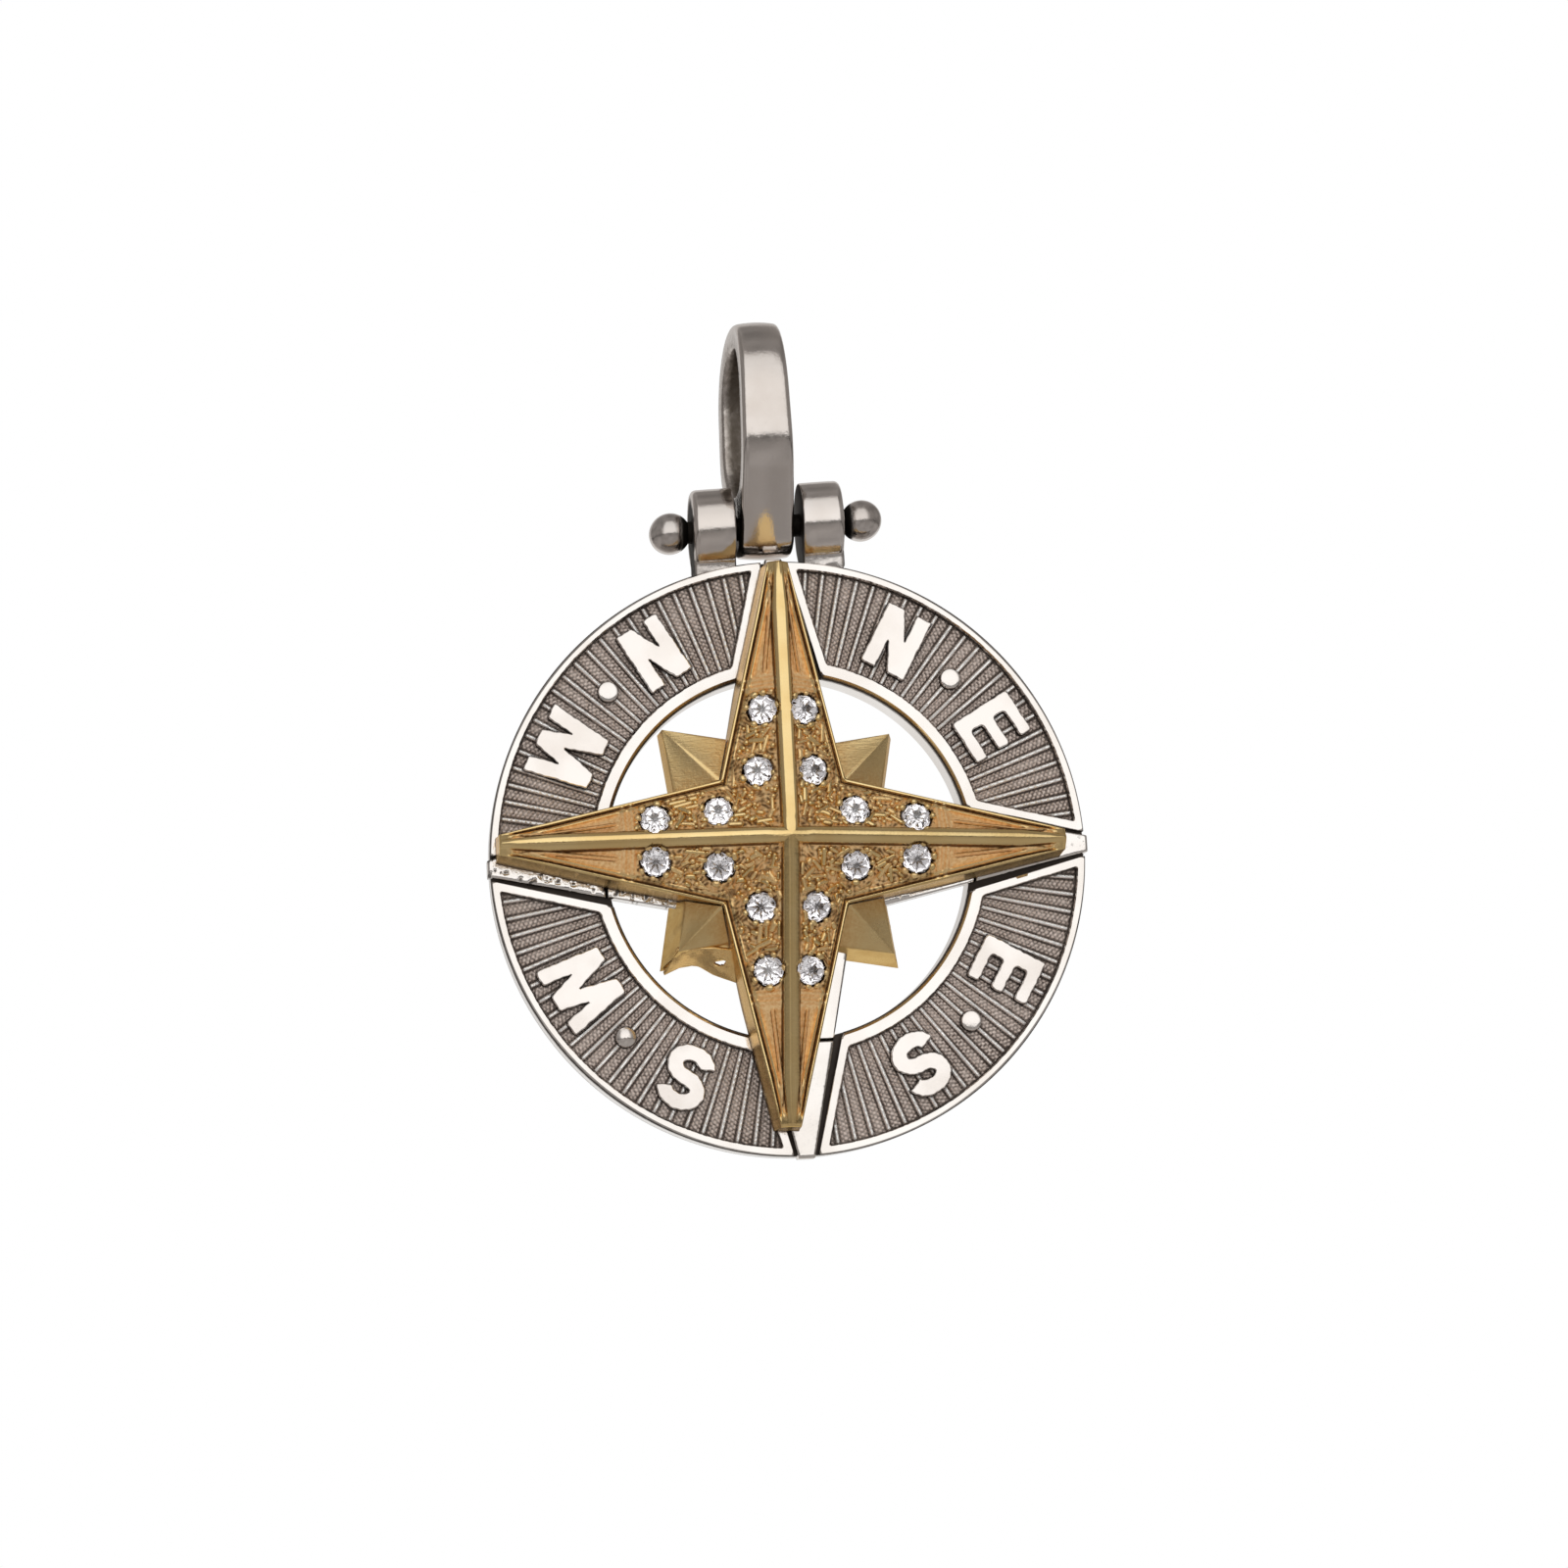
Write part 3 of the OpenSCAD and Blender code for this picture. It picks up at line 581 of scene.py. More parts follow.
# Cross bars
# A white-metal cross lies in the four channels and carries the stars. Its arms widen towards
# the middle; the file and hammer marks on them stay, and a cut crosses each at the opening.
cross_tip, cross_flare, cross_t, cross_up = 0.34, 0.217, 1.05, 0.05
cut_at, cut_half, cut_depth = 7.74, 0.055, 0.16
blow_count = 520
blow_depth = (0.3, 0.3, 1.2, 0.1)
blow_stain = (0.3, 0.3, 0.6, 0.1)
cross_metal = polished("hammered_white_metal", (0.93, 0.90, 0.87), 0.11,
                       dull_colour=(0.03, 0.025, 0.02), scratch=2.0)
corner = (cross_tip + cross_flare * cross_r) / (1 + cross_flare)
along = np.concatenate([np.linspace(0, corner, 16)[:-1], np.linspace(corner, 7.6, 60)[:-1],
                        np.array([7.62, 7.66, 7.70, 7.76, 7.80, 7.84, 7.90]),
                        np.linspace(7.96, cross_r - 0.1, 90),
                        cross_r - np.array([0.05, 0.02, 0.0])])
share = np.concatenate([[0, 0.02, 0.05, 0.09], np.linspace(0.14, 0.86, 17), [0.91, 0.95, 0.98, 1]])
half = np.where(along < corner, along, cross_tip + cross_flare * (cross_r - along))[:, None]
bar_x = np.broadcast_to(along[:, None], (len(along), len(share)))
bar_y = half * (2 * share - 1)
inside = np.clip((along - corner) / 0.4, 0, 1)[:, None]
from_edge = half - np.abs(bar_y)
ease_h = -0.07 * np.clip(1 - from_edge / 0.09, 0, 1) ** 2 * inside
ease_h = ease_h - 0.10 * np.clip(1 - (cross_r - bar_x) / 0.1, 0, 1) ** 2
cut = -cut_depth * np.exp(-((bar_x - cut_at) / cut_half) ** 4)
levels = [cross_up - cross_t + 0.06, cross_up - cross_t]
count_a, count_s = bar_x.shape
wall_i = np.flatnonzero(along >= corner - 1e-9)
edge_path = np.concatenate([wall_i * count_s, (count_a - 1) * count_s + np.arange(1, count_s - 1),
                            wall_i[::-1] * count_s + count_s - 1])
count_p, base = len(edge_path), count_a * count_s
seq = [edge_path, base + np.arange(count_p), base + count_p + np.arange(count_p)]
walls = [np.stack([a[:-1], a[1:], b[1:], b[:-1]], -1) for a, b in zip(seq, seq[1:])]
bottom = [[base + 2 * count_p] + seq[2].tolist()]
draw = np.random.default_rng(3)
parts, dulls = [], []
for arm in range(4):
    blows = np.stack([draw.uniform(2.5, 12.7, blow_count), draw.uniform(-2.6, 2.6, blow_count)], 1)
    size = draw.uniform(0.06, 0.15, blow_count)
    far = np.hypot(bar_x[..., None] - blows[:, 0], bar_y[..., None] - blows[:, 1])
    hit = np.clip(1 - (far / size) ** 2, 0, 1)
    dent = (hit * size * 0.15).max(-1)
    top = cross_up + ease_h + cut - dent * blow_depth[arm] * inside
    plan = quarter_turns(np.stack([bar_x, bar_y], -1), arm)
    low_plan = plan.reshape(-1, 2)[edge_path]
    spots = np.concatenate([upright(plan[..., 0], plan[..., 1], top),
                            upright(low_plan[:, 0], low_plan[:, 1], levels[0]),
                            upright(low_plan[:, 0] * 0.998, low_plan[:, 1] * 0.998, levels[1]),
                            upright(0, 0, levels[1])])
    parts.append((spots, [net(count_a, count_s), *walls, bottom]))
    stain = np.clip((hit.max(-1) - 0.5) / 0.2, 0, 1) * blow_stain[arm] + np.clip(-cut / 0.1, 0, 1)
    dulls += [stain, np.full(2 * count_p + 1, 0.3)]
piece("cross_bars", parts, cross_metal, ["ring"], tarnish=dulls, crisp=40)

# Lugs
# Two short barrels soldered on the rim carry the hinge pin. They are polished white metal, with
# a rounded outer end, and each stands on a foot that is filleted into the ring. They were
# soldered a hair to the left, and the pin through them rises slightly to the right.
lug_in, lug_out, lug_r, bore_r = 1.43, 3.18, 1.77, 0.5
lug_foot, lug_seat_r = 0.93, 12.335
pin_x, pin_lean = -0.13, 0.035
lug_metal = polished("lug_white_metal", (0.80, 0.755, 0.725), 0.13, (0.04, 0.035, 0.03),
                     scratch=1.6)


def on_pin(x, y, z):
    """Points about the pin's own axis, carried to where the pin lies."""
    x, y, z = np.broadcast_arrays(x, y, z)
    return np.stack([x + pin_x, y, z + pin_z + pin_lean * x], -1).reshape(-1, 3)


phi = np.linspace(0, 2 * np.pi, 144, endpoint=False)
round_in, round_out = 0.07, 0.25
turn_out = np.radians(np.linspace(0, 90, 6))
sect = [(lug_in, 0, 0), (lug_in, 0, 0.5), (lug_in, round_in, 1), (lug_in + 0.02, 0.02, 1),
        (lug_in + round_in, 0, 1), (lug_in + 0.6, -0.006, 1), (lug_out - 0.6, -0.006, 1)]
sect += [(lug_out - round_out + round_out * math.sin(a), round_out * (1 - math.cos(a)), 1)
         for a in turn_out]
sect += [(lug_out, 0, 0.5), (lug_out, 0, 0)]
# Both end faces of each barrel are painted dark as shade.
end_painted_shade = np.array([1, 0.95, 0.8, 0.4, 0.05, 0, 0, 0, 0, 0, 0.05, 0.1, 0.3, 0.8, 1])
pin_over = pin_z - ring_z
parts, dulls = [], []
for hand in (-1, 1):
    for x, inset, share in sect:
        drop = pin_over - math.sqrt(lug_seat_r ** 2 - min(x, lug_out - 0.2) ** 2)
        sy, cz = np.abs(np.sin(phi)), -np.cos(phi)
        box_r = np.minimum(lug_foot / np.maximum(sy, 1e-6), drop / np.maximum(cz, 1e-6))
        box_r = np.where(cz > 0, box_r, 0)
        big, small = np.maximum(lug_r, box_r), np.minimum(lug_r, box_r)
        reach = big + 0.10 * np.exp(-((big - small) / 0.14)) * (cz > 0.2) * (box_r > 1.2)
        reach = np.minimum(reach, np.maximum(big, lug_r + 0.02)) - inset
        rad = bore_r + (reach - bore_r) * share
        parts.append(on_pin(hand * x, rad * np.sin(phi), rad * np.cos(phi)))
    # The foot under each barrel is painted greyer as shade.
    dulls.append(end_painted_shade[:, None] + 0.35 * np.clip((-np.cos(phi) - 0.75) / 0.1, 0, 1))
count = len(sect) * len(phi)
piece("hinge_lugs", [(np.concatenate(parts), [net(len(sect), len(phi), True, True),
                                              net(len(sect), len(phi), True, True) + count])],
      lug_metal, ["ring"], crisp=50, tarnish=dulls)

# Hinge pin
# The pin is a plain polished rod through both lugs and the bail's eye. A ball is drawn up on
# # each end, a hair's breadth off the lug, so that it can't slide out. Its neck is painted
# # dark as shadow.
pin_r, ball_x, ball_r = 0.48, 4.08, 0.88
ball_metal = polished("ball_white_metal", (0.70, 0.66, 0.635), 0.17, (0.04, 0.035, 0.03),
                      scratch=2.0)
ball = np.radians(np.linspace(0, 148, 40))
neck_x = np.array([ball_x - ball_r - 0.06, 3.0, 1.2])
profile = np.concatenate([
    np.stack([ball_x + ball_r * np.cos(ball), ball_r * np.sin(ball)], 1),
    np.stack([neck_x, 0 * neck_x + pin_r], 1)])
# The ball's side towards the lug and the rod are painted dark: a painted shadow in the neck.
neck_painted_shadow = np.concatenate([np.clip((np.degrees(ball) - 112) / 18, 0, 0.95), 0.95 + 0 * neck_x])
profile = np.concatenate([profile, profile[::-1] * [-1, 1]])
neck_painted_shadow = np.concatenate([neck_painted_shadow, neck_painted_shadow[::-1]])
phi_pin = np.linspace(0, 2 * np.pi, 96, endpoint=False)[:, None]
spots = on_pin(profile[:, 0], profile[:, 1] * np.sin(phi_pin), profile[:, 1] * np.cos(phi_pin))
piece("hinge_pin_polished", [(spots, net(96, len(profile), True, False))], ball_metal,
      ["hinge_pin"], crisp=50, tarnish=[np.broadcast_to(neck_painted_shadow, (96, len(profile)))])

# Bail
# The bail is a tall stirrup of polished white metal that swings on the pin, and the chain runs
# through it. It narrows towards its top, its outer face is slightly crowned, its edges are soft,
# its inside is dull with wear, and its back limb has been bent a little to the left.
bail_r, loop_r, bail_low, bail_high, eye_r = 3.45, 2.35, 3.75, 5.345, 1.375
bail_foot_w, bail_head_w, bail_tall = 2.25, 1.85, 8.8
bail_bore, bail_x, back_bend = 0.53, -0.19, 0.35
edge_out, edge_in, crown = 0.24, 0.15, 0.055
bail_metal = polished("bail_white_metal", (0.74, 0.69, 0.655), 0.16, (0.20, 0.17, 0.14), 0.25,
                      scratch=2.0)
top_a = np.radians(np.linspace(0, 180, 72))
straight = np.linspace(0, 1, 14)[1:-1]
low_a = np.radians(np.linspace(180, 360, 110))
flank_a = math.asin((bail_r - eye_r) / bail_low)
dip = np.where(low_a < 1.5 * np.pi, low_a - np.pi, 2 * np.pi - low_a)
eye_dip = math.atan2(bail_low + eye_r * math.sin(flank_a), eye_r * math.cos(flank_a))
to_eye = bail_low * np.sin(dip) + np.sqrt(np.maximum(eye_r ** 2 - (bail_low * np.cos(dip)) ** 2, 0))
reach = np.where(dip < flank_a, bail_r,
                 np.where(dip < eye_dip, bail_r / np.cos(dip - flank_a), to_eye))


def stirrup(radius, low_reach):
    """Side view of a stirrup: a half circle, a straight limb, the lower end and the other limb."""
    limb = bail_high + (bail_low - bail_high) * straight
    return np.concatenate([
        np.stack([radius * np.cos(top_a), bail_high + radius * np.sin(top_a)], 1),
        np.stack([-radius + 0 * straight, limb], 1),
        np.stack([low_reach * np.cos(low_a), bail_low + low_reach * np.sin(low_a)], 1),
        np.stack([radius + 0 * straight, limb[::-1]], 1)])


inner_path, outer_path = stirrup(loop_r, loop_r), stirrup(bail_r, reach)
span = outer_path - inner_path
thick = np.hypot(*span.T)[:, None]
soft_in, soft_out = np.radians([12, 36, 60, 84]), np.radians([84, 70, 54, 38, 22, 6])
# A column lies across at part * half width - inset, and outwards from the loop at
# scale_t * thickness + off. Its last number is how dull it is
columns = np.array([(s, 0, 0, 0.012 * s * s, 0.75) for s in (0.0, 0.35, 0.62)]
                   + [(1, edge_in * (1 - math.sin(a)), 0, edge_in * (1 - math.cos(a)) + 0.008, 0.45)
                      for a in soft_in]
                   + [(1, 0, 0.5, 0.5 * (edge_in - edge_out), 0.35)]
                   + [(1, edge_out * (1 - math.sin(a)), 1,
                       -crown - edge_out * (1 - math.cos(a)), 0.1) for a in soft_out]
                   + [(s, 0, 1, -crown * (s / 0.78) ** 2, 0) for s in (0.68, 0.5, 0.3, 0.15, 0.0)])
part, inset, scale_t, off, stain = columns.T
depth = scale_t * thick + off
plan = inner_path[:, None] + span[:, None] * (depth / thick)[..., None]
half = bail_foot_w / 2 - (bail_foot_w - bail_head_w) / 2 / bail_tall * plan[..., 1]
x = part * half - inset
grid = np.stack([x, -plan[..., 0], plan[..., 1] + pin_z], -1)
grid = np.concatenate([grid, grid[:, ::-1] * [-1, 1, 1]], 1)
stain = np.broadcast_to(np.append(stain, stain[::-1]), grid.shape[:2])
grid[..., 0] += bail_x - back_bend * np.clip((grid[..., 1] + 1) / 4.4, 0, 1)
bail = piece("bail_stirrup", [(grid.reshape(-1, 3), net(*grid.shape[:2], True, True))],
             bail_metal, ["bail"], body="bail", crisp=50, tarnish=[stain])
drill_a = np.linspace(0, 2 * np.pi, 72, endpoint=False)
drill_spots = np.concatenate([np.stack([x + 0 * drill_a, bail_bore * np.sin(drill_a),
                                        pin_z + bail_bore * np.cos(drill_a)], 1) for x in (-2, 2)])
drill_mesh = bpy.data.meshes.new("drill")
drill_mesh.from_pydata((drill_spots * mm).tolist(), [], net(2, 72, False, True).tolist()
                       + [list(range(72))[::-1], list(range(72, 144))])
drill = added("drill", drill_mesh)
sealed(drill_mesh)
bore = bail.modifiers.new("bore", "BOOLEAN")
bore.object, bore.operation, bore.solver = drill, "DIFFERENCE", "EXACT"
bpy.context.view_layer.update()
bored = bpy.data.meshes.new_from_object(bail.evaluated_get(bpy.context.evaluated_depsgraph_get()))
bail.modifiers.clear()
bail.data = bored
bored.materials.clear()
bored.materials.append(bail_metal)
bpy.data.objects.remove(drill)

# Short points
# Four gold points fill the corners between the long ones, behind them. Each has two flat
# brushed facets that meet on a thin bright ridge, and walls that spread towards the cross. They
# were filed and soldered by eye, so each has its own reach, foot and place.
star_x, star_y, star_turn = -0.45, 0.35, math.radians(-1.8)
star_reach, star_tip, star_flare = 11.75, 0.42, 0.237
star_base, star_edge, star_rise = 0.1, 2.1, 2.75
star_root = star_tip + star_flare * star_reach
star_slant = math.sqrt(1 + star_flare ** 2)
short_angle = math.radians(72.0)
short_edge, short_rise, short_foot = 1.0, 0.95, -0.97
short_line = star_root + 0.05 * star_slant
# Reach at the top, reach at the foot, how far the foot is off sideways and up, wall unevenness
short_points = {"ne": (6.55, 6.75, 0.2, -0.1, 0.02), "nw": (6.9, 6.95, 0, 0, 0.02),
                "sw": (6.2, 7.1, 0, 0, 0.08), "se": (6.5, 7.1, 0, 0, 0.03)}


def on_star(plan, h):
    """Points of the stars' own plan, turned and shifted to where the stars are soldered."""
    c, s = math.cos(star_turn), math.sin(star_turn)
    x, y = plan[..., 0], plan[..., 1]
    return upright(c * x - s * y + star_x, s * x + c * y + star_y, h)


def gold(name, colour, rough, deep, deep_rough, brush=0.0, chalk=0.5):
    """Yellow gold, polished where its tarnish-and-shade mark is 0 and matt, deeper and redder where
    it is 1, painted dark brown as shade where its painted-shade mark is 1, with cloudy polish,
    hair scratches and, for a brush, fine parallel lines. Chalk is how far its matt parts
    scatter light like powder."""
    made, tree, body, place = fresh(name)
    matt, painted_dark = attribute(tree, "tarnish"), attribute(tree, "soot")
    cloud = clouds(tree, place, 600.0)
    fine = clouds(tree, place, 7000.0, 3.0, 0.6)
    painted_dark = ramp(tree, sums(tree, "MULTIPLY_ADD", fine, 0.5, sums(tree, "SUBTRACT", painted_dark, 0.25)),
                0.2, 0.8)
    shade = clouded(tree, cloud, colour, (0.95, 0.90, 0.82))
    low = clouded(tree, fine, deep, (0.85, 0.72, 0.6), 0.65)
    # Where the painted-shade mark says, the gold is painted dark brown as shade.
    shade = blend(tree, painted_dark, blend(tree, matt, shade, low), (0.16, 0.08, 0.03, 1))
    tree.links.new(shade, body.inputs["Base Color"])
    body.inputs["Specular Tint"].default_value = (0.72, 0.58, 0.38, 1)
    tree.links.new(ramp(tree, matt, 0.0, 1.0, 1.0, 1 - chalk, smooth=False),
                   body.inputs["Metallic"])
    gloss = sums(tree, "MULTIPLY_ADD", ramp(tree, fine, 0.5, 0.8), 0.06,
                 ramp(tree, cloud, 0.3, 0.7, rough * 0.8, rough * 1.3))
    gloss = shader(tree, "ShaderNodeMix", {0: matt, 2: gloss, 3: deep_rough}).outputs[0]
    tree.links.new(gloss, body.inputs["Roughness"])
    drawn = shader(tree, "ShaderNodeMapping", {"Vector": place, "Scale": (1.0, 1.0, 9.0),
                                               "Rotation": (0.0, 0.8, 0.0)}).outputs[0]
    relief = sums(tree, "MULTIPLY_ADD", clouds(tree, drawn, 2200.0), 0.3 + 3.0 * brush, fine)
    relief = sums(tree, "MULTIPLY_ADD", fine, sums(tree, "MULTIPLY", matt, 4.0), relief)
    relief = sums(tree, "MULTIPLY_ADD", cloud, 2.5, relief)
    bumped(tree, body, relief, 0.000004)
    return made


brushed_gold = gold("brushed_gold", (0.90, 0.70, 0.36), 0.26, (0.90, 0.62, 0.28), 0.42,
                    brush=1.0, chalk=0.1)


def short_plan(reach):
    """Tip, side, inner corner and side of a short point: the sides run at the tip's half angle
    from the tip to the line of the long points' flanks."""
    t = reach / math.sqrt(2)
    a = math.radians(225) + short_angle / 2
    k = (short_line - star_flare * t - t) / (math.sin(a) + star_flare * math.cos(a))
    side = np.array([t + k * math.cos(a), t + k * math.sin(a)])
    inner = short_line / (1 + star_flare)
    return np.array([t, t]), side, np.array([inner, inner]), side[::-1]


u = np.linspace(0, 1, 26)[:, None]
v = np.concatenate([[0, 0.02, 0.045], np.linspace(0.08, 0.92, 12), [0.96, 0.985, 1.0]])[None, :]
wall_steps = np.array([0.0, 0.15, 0.4, 0.7, 0.97, 1.0])[None, :]
for quadrant, (name, (reach_top, reach_foot, foot_x, foot_y, rough_wall)) in enumerate(
        short_points.items()):
    tip, side, inner, other = short_plan(reach_top)
    foot_tip, foot_side, foot_inner, foot_other = short_plan(reach_foot)
    foot_off = quarter_turns(np.array([foot_x, foot_y]), -quadrant)
    parts, dulls = [], []
    draw = np.random.default_rng(20 + quadrant)
    for flip in (False, True):
        edge_end, foot_end = (other, foot_other) if flip else (side, foot_side)
        ridge = tip + (inner - tip) * u[..., None]
        edge = tip + (edge_end - tip) * u[..., None]
        plan = ridge + (edge - ridge) * v[..., None]
        rise = short_edge + short_rise * u * (1 - v)
        rise = rise - 0.03 * np.clip(1 - v / 0.05, 0, 1) * (0.3 + u)
        rise = rise - 0.03 * np.clip((v - 0.95) / 0.05, 0, 1) ** 2
        rise = rise - 0.05 * np.sin(np.pi * v) * u * (1 - 0.3 * u)
        foot = foot_tip + foot_off + (foot_end - foot_tip) * u[..., None]
        wall = edge + (foot - edge) * np.minimum(wall_steps, 0.97)[..., None]
        lumps = rough_wall * np.sin(9 * u + 3 * wall_steps + draw.uniform(0, 6))
        lumps = lumps * np.sin(23 * u + 5 * wall_steps)
        away = (edge_end - tip)[::-1] * [1, -1] / np.hypot(*(edge_end - tip))
        away = away if away.sum() > 0 else -away
        wall = wall + away * (np.sin(np.pi * wall_steps) * lumps)[..., None]
        wall_h = rise[:, -1:] + (short_foot - rise[:, -1:]) * wall_steps
        plan = np.concatenate([plan, wall[:, 1:]], 1)
        rise = np.concatenate([rise, wall_h[:, 1:]], 1)
        spots = on_star(quarter_turns(plan, quadrant), rise)
        count_u, count_v = rise.shape
        last = (np.arange(count_u) * count_v + count_v - 1).tolist()
        end_row = ((count_u - 1) * count_v + np.arange(count_v)).tolist()
        heart = on_star(quarter_turns(foot_inner[None], quadrant), short_foot)
        parts.append((np.concatenate([spots, heart]),
                      [net(count_u, count_v), [last + [len(spots)]], [end_row + [len(spots)]]]))
        matt = 0.15 + 0.55 * np.clip((u - 0.55) / 0.4, 0, 1) * (v > 0.04)
        matt = np.concatenate([matt, np.full((count_u, wall_steps.size - 1), 0.2)], 1)
        dulls += [matt, np.zeros(1)]
    piece("short_point_gold_" + name, parts, brushed_gold, ["short_point_" + name],
          slot="yellow_gold", tarnish=dulls, crisp=28)

# Solder web
# Gold solder has run out at the foot of the lower left short point, towards the long point
# below it. It froze there as a thin wavy skirt, with one small hole left in it.
web_t = 0.16
web_top = np.array([(-4.41, -4.25, 0.95), (-3.6, -4.22, 0.95), (-2.9, -4.2, 0.9),
                    (-2.14, -4.28, 0.8)])
web_low = np.array([(-4.85, -5.1, -0.9), (-4.0, -4.72, -0.6), (-3.4, -4.8, -0.45),
                    (-2.8, -5.2, -0.3), (-1.85, -5.6, 0.1)])
web_hole, hole_size = np.array([-2.59, -4.76]), np.array([0.22, 0.14])
web_u, web_v = np.linspace(0, 1, 60), np.linspace(0, 1, 26)[:, None, None]
web_high = np.stack([np.interp(web_u, np.linspace(0, 1, 4), c) for c in web_top.T], 1)
web_edge = np.stack([np.interp(web_u, np.linspace(0, 1, 5), c) for c in web_low.T], 1)
web_edge = (np.roll(web_edge, 2, 0) + web_edge + np.roll(web_edge, -2, 0)) / 3
web_edge[[0, 1, -2, -1]] = [web_low[0], web_low[0], web_low[-1], web_low[-1]]
web = web_high + (web_edge - web_high) * web_v
lump = 0.06 * np.sin(9 * web[..., 0] + 4 * web[..., 1]) * np.sin(7 * web[..., 1] - 3 * web[..., 0])
web[..., 2] += (0.05 + lump) * np.sin(np.pi * web_v[..., 0])
web_net = net(*web.shape[:2])
middle = web.reshape(-1, 3)[web_net][..., :2].mean(1)
web_net = web_net[np.hypot(*((middle - web_hole) / hole_size).T) > 1]
web_gold = gold("molten_gold", (0.93, 0.69, 0.34), 0.2, (0.93, 0.60, 0.22), 0.35)
skirt = piece("solder_web", [(on_star(web[..., :2], web[..., 2]), web_net)], web_gold,
              slot="yellow_gold", crisp=80, tarnish=[np.full(web.shape[0] * web.shape[1], 0.4)])
thicken = skirt.modifiers.new("thickness", "SOLIDIFY")
thicken.thickness, thicken.offset = web_t * mm, 0.0

# Long star
# The long star is cast in yellow gold: four long points with a filed rib on each ridge and a
# # double wire along each edge. Between them the faces are cut down, and stones are set in the
# # grain. The walls spread towards the foot. The grooves, the cups under the stones and the
# # feet of the walls are painted dark brown as shade.
stone_r, seat_r, stone_sink, stone_tilt = 0.635, 0.665, 0.1, math.radians(21)
stone_along, stone_off = (2.82, 2.82, 5.4, 5.4), (1.15, -1.15, 0.87, -0.87)
slope = star_rise / star_root
# Where the relief fades at the tips, where the slim rib starts, the two bars, the end of the grain
tip_fade, slim_start, bar_at, grain_end = (11.0, 11.5), (6.85, 7.1), (6.33, 6.68), 6.2
# Where the walls start to spread, and how far out they stand at five heights down to the foot
wall_start, wall_spread = (3.9, 7.0), (0.0, 0.02, 0.06, 0.12, 0.115)
# Half width of the flat on each rib, and how far its crest lies to one side: E, N, W, S
rib_flat, rib_aside = (0.12, 0.2, 0.12, 0.1), (0.07, -0.05, -0.07, 0.03)
star_gold = gold("star_gold", (0.93, 0.71, 0.35), 0.14, (1.0, 0.70, 0.36), 0.36, chalk=0.45)
star_corner = star_root / (1 + star_flare)


def smooth(value, low, high):
    """0 below low, 1 above high, and an easy rise between."""
    t = np.clip((value - low) / (high - low), 0, 1)
    return t * t * (3 - 2 * t)


def out_and_aside(x, y):
    """How far out along its own point a place lies, and how far it lies from that point's ridge."""
    x, y = np.abs(x), np.abs(y)
    return np.maximum(x, y), np.minimum(x, y)


def face_height(x, y):
    """The star's plain roof: a plane from each edge up to the ridge of its point."""
    big, small = out_and_aside(x, y)
    return star_edge + slope * (star_root - star_flare * big - small)


seats, axes = [], []
for arm in range(4):
    for along_s, off in zip(stone_along, stone_off):
        spot = quarter_turns(np.array([along_s, off]), arm)
        push = quarter_turns(np.array([star_flare, math.copysign(1, off)]) / star_slant, arm)
        seats.append([*spot, face_height(*spot) - stone_sink])
        axes.append([*(push * math.sin(stone_tilt)), math.cos(stone_tilt)])
seats, axes = np.array(seats), np.array(axes)

rows_m = np.concatenate([np.linspace(0, star_corner, 52), np.linspace(star_corner, 6.2, 74)[1:],
                         np.linspace(6.2, 7.0, 22)[1:], np.linspace(7.0, 10.4, 38)[1:],
                         np.linspace(10.4, star_reach - 0.06, 16)[1:],
                         star_reach - np.array([0.025, 0.0])])
rib_cols = np.array([0, 0.05, 0.10, 0.15, 0.20, 0.27, 0.305, 0.335, 0.365, 0.40])
wire_cols = np.array([0.46, 0.40, 0.34, 0.28, 0.22, 0.17, 0.13, 0.10, 0.06, 0.015, 0.0])
field_n, corner_row = 30, 51


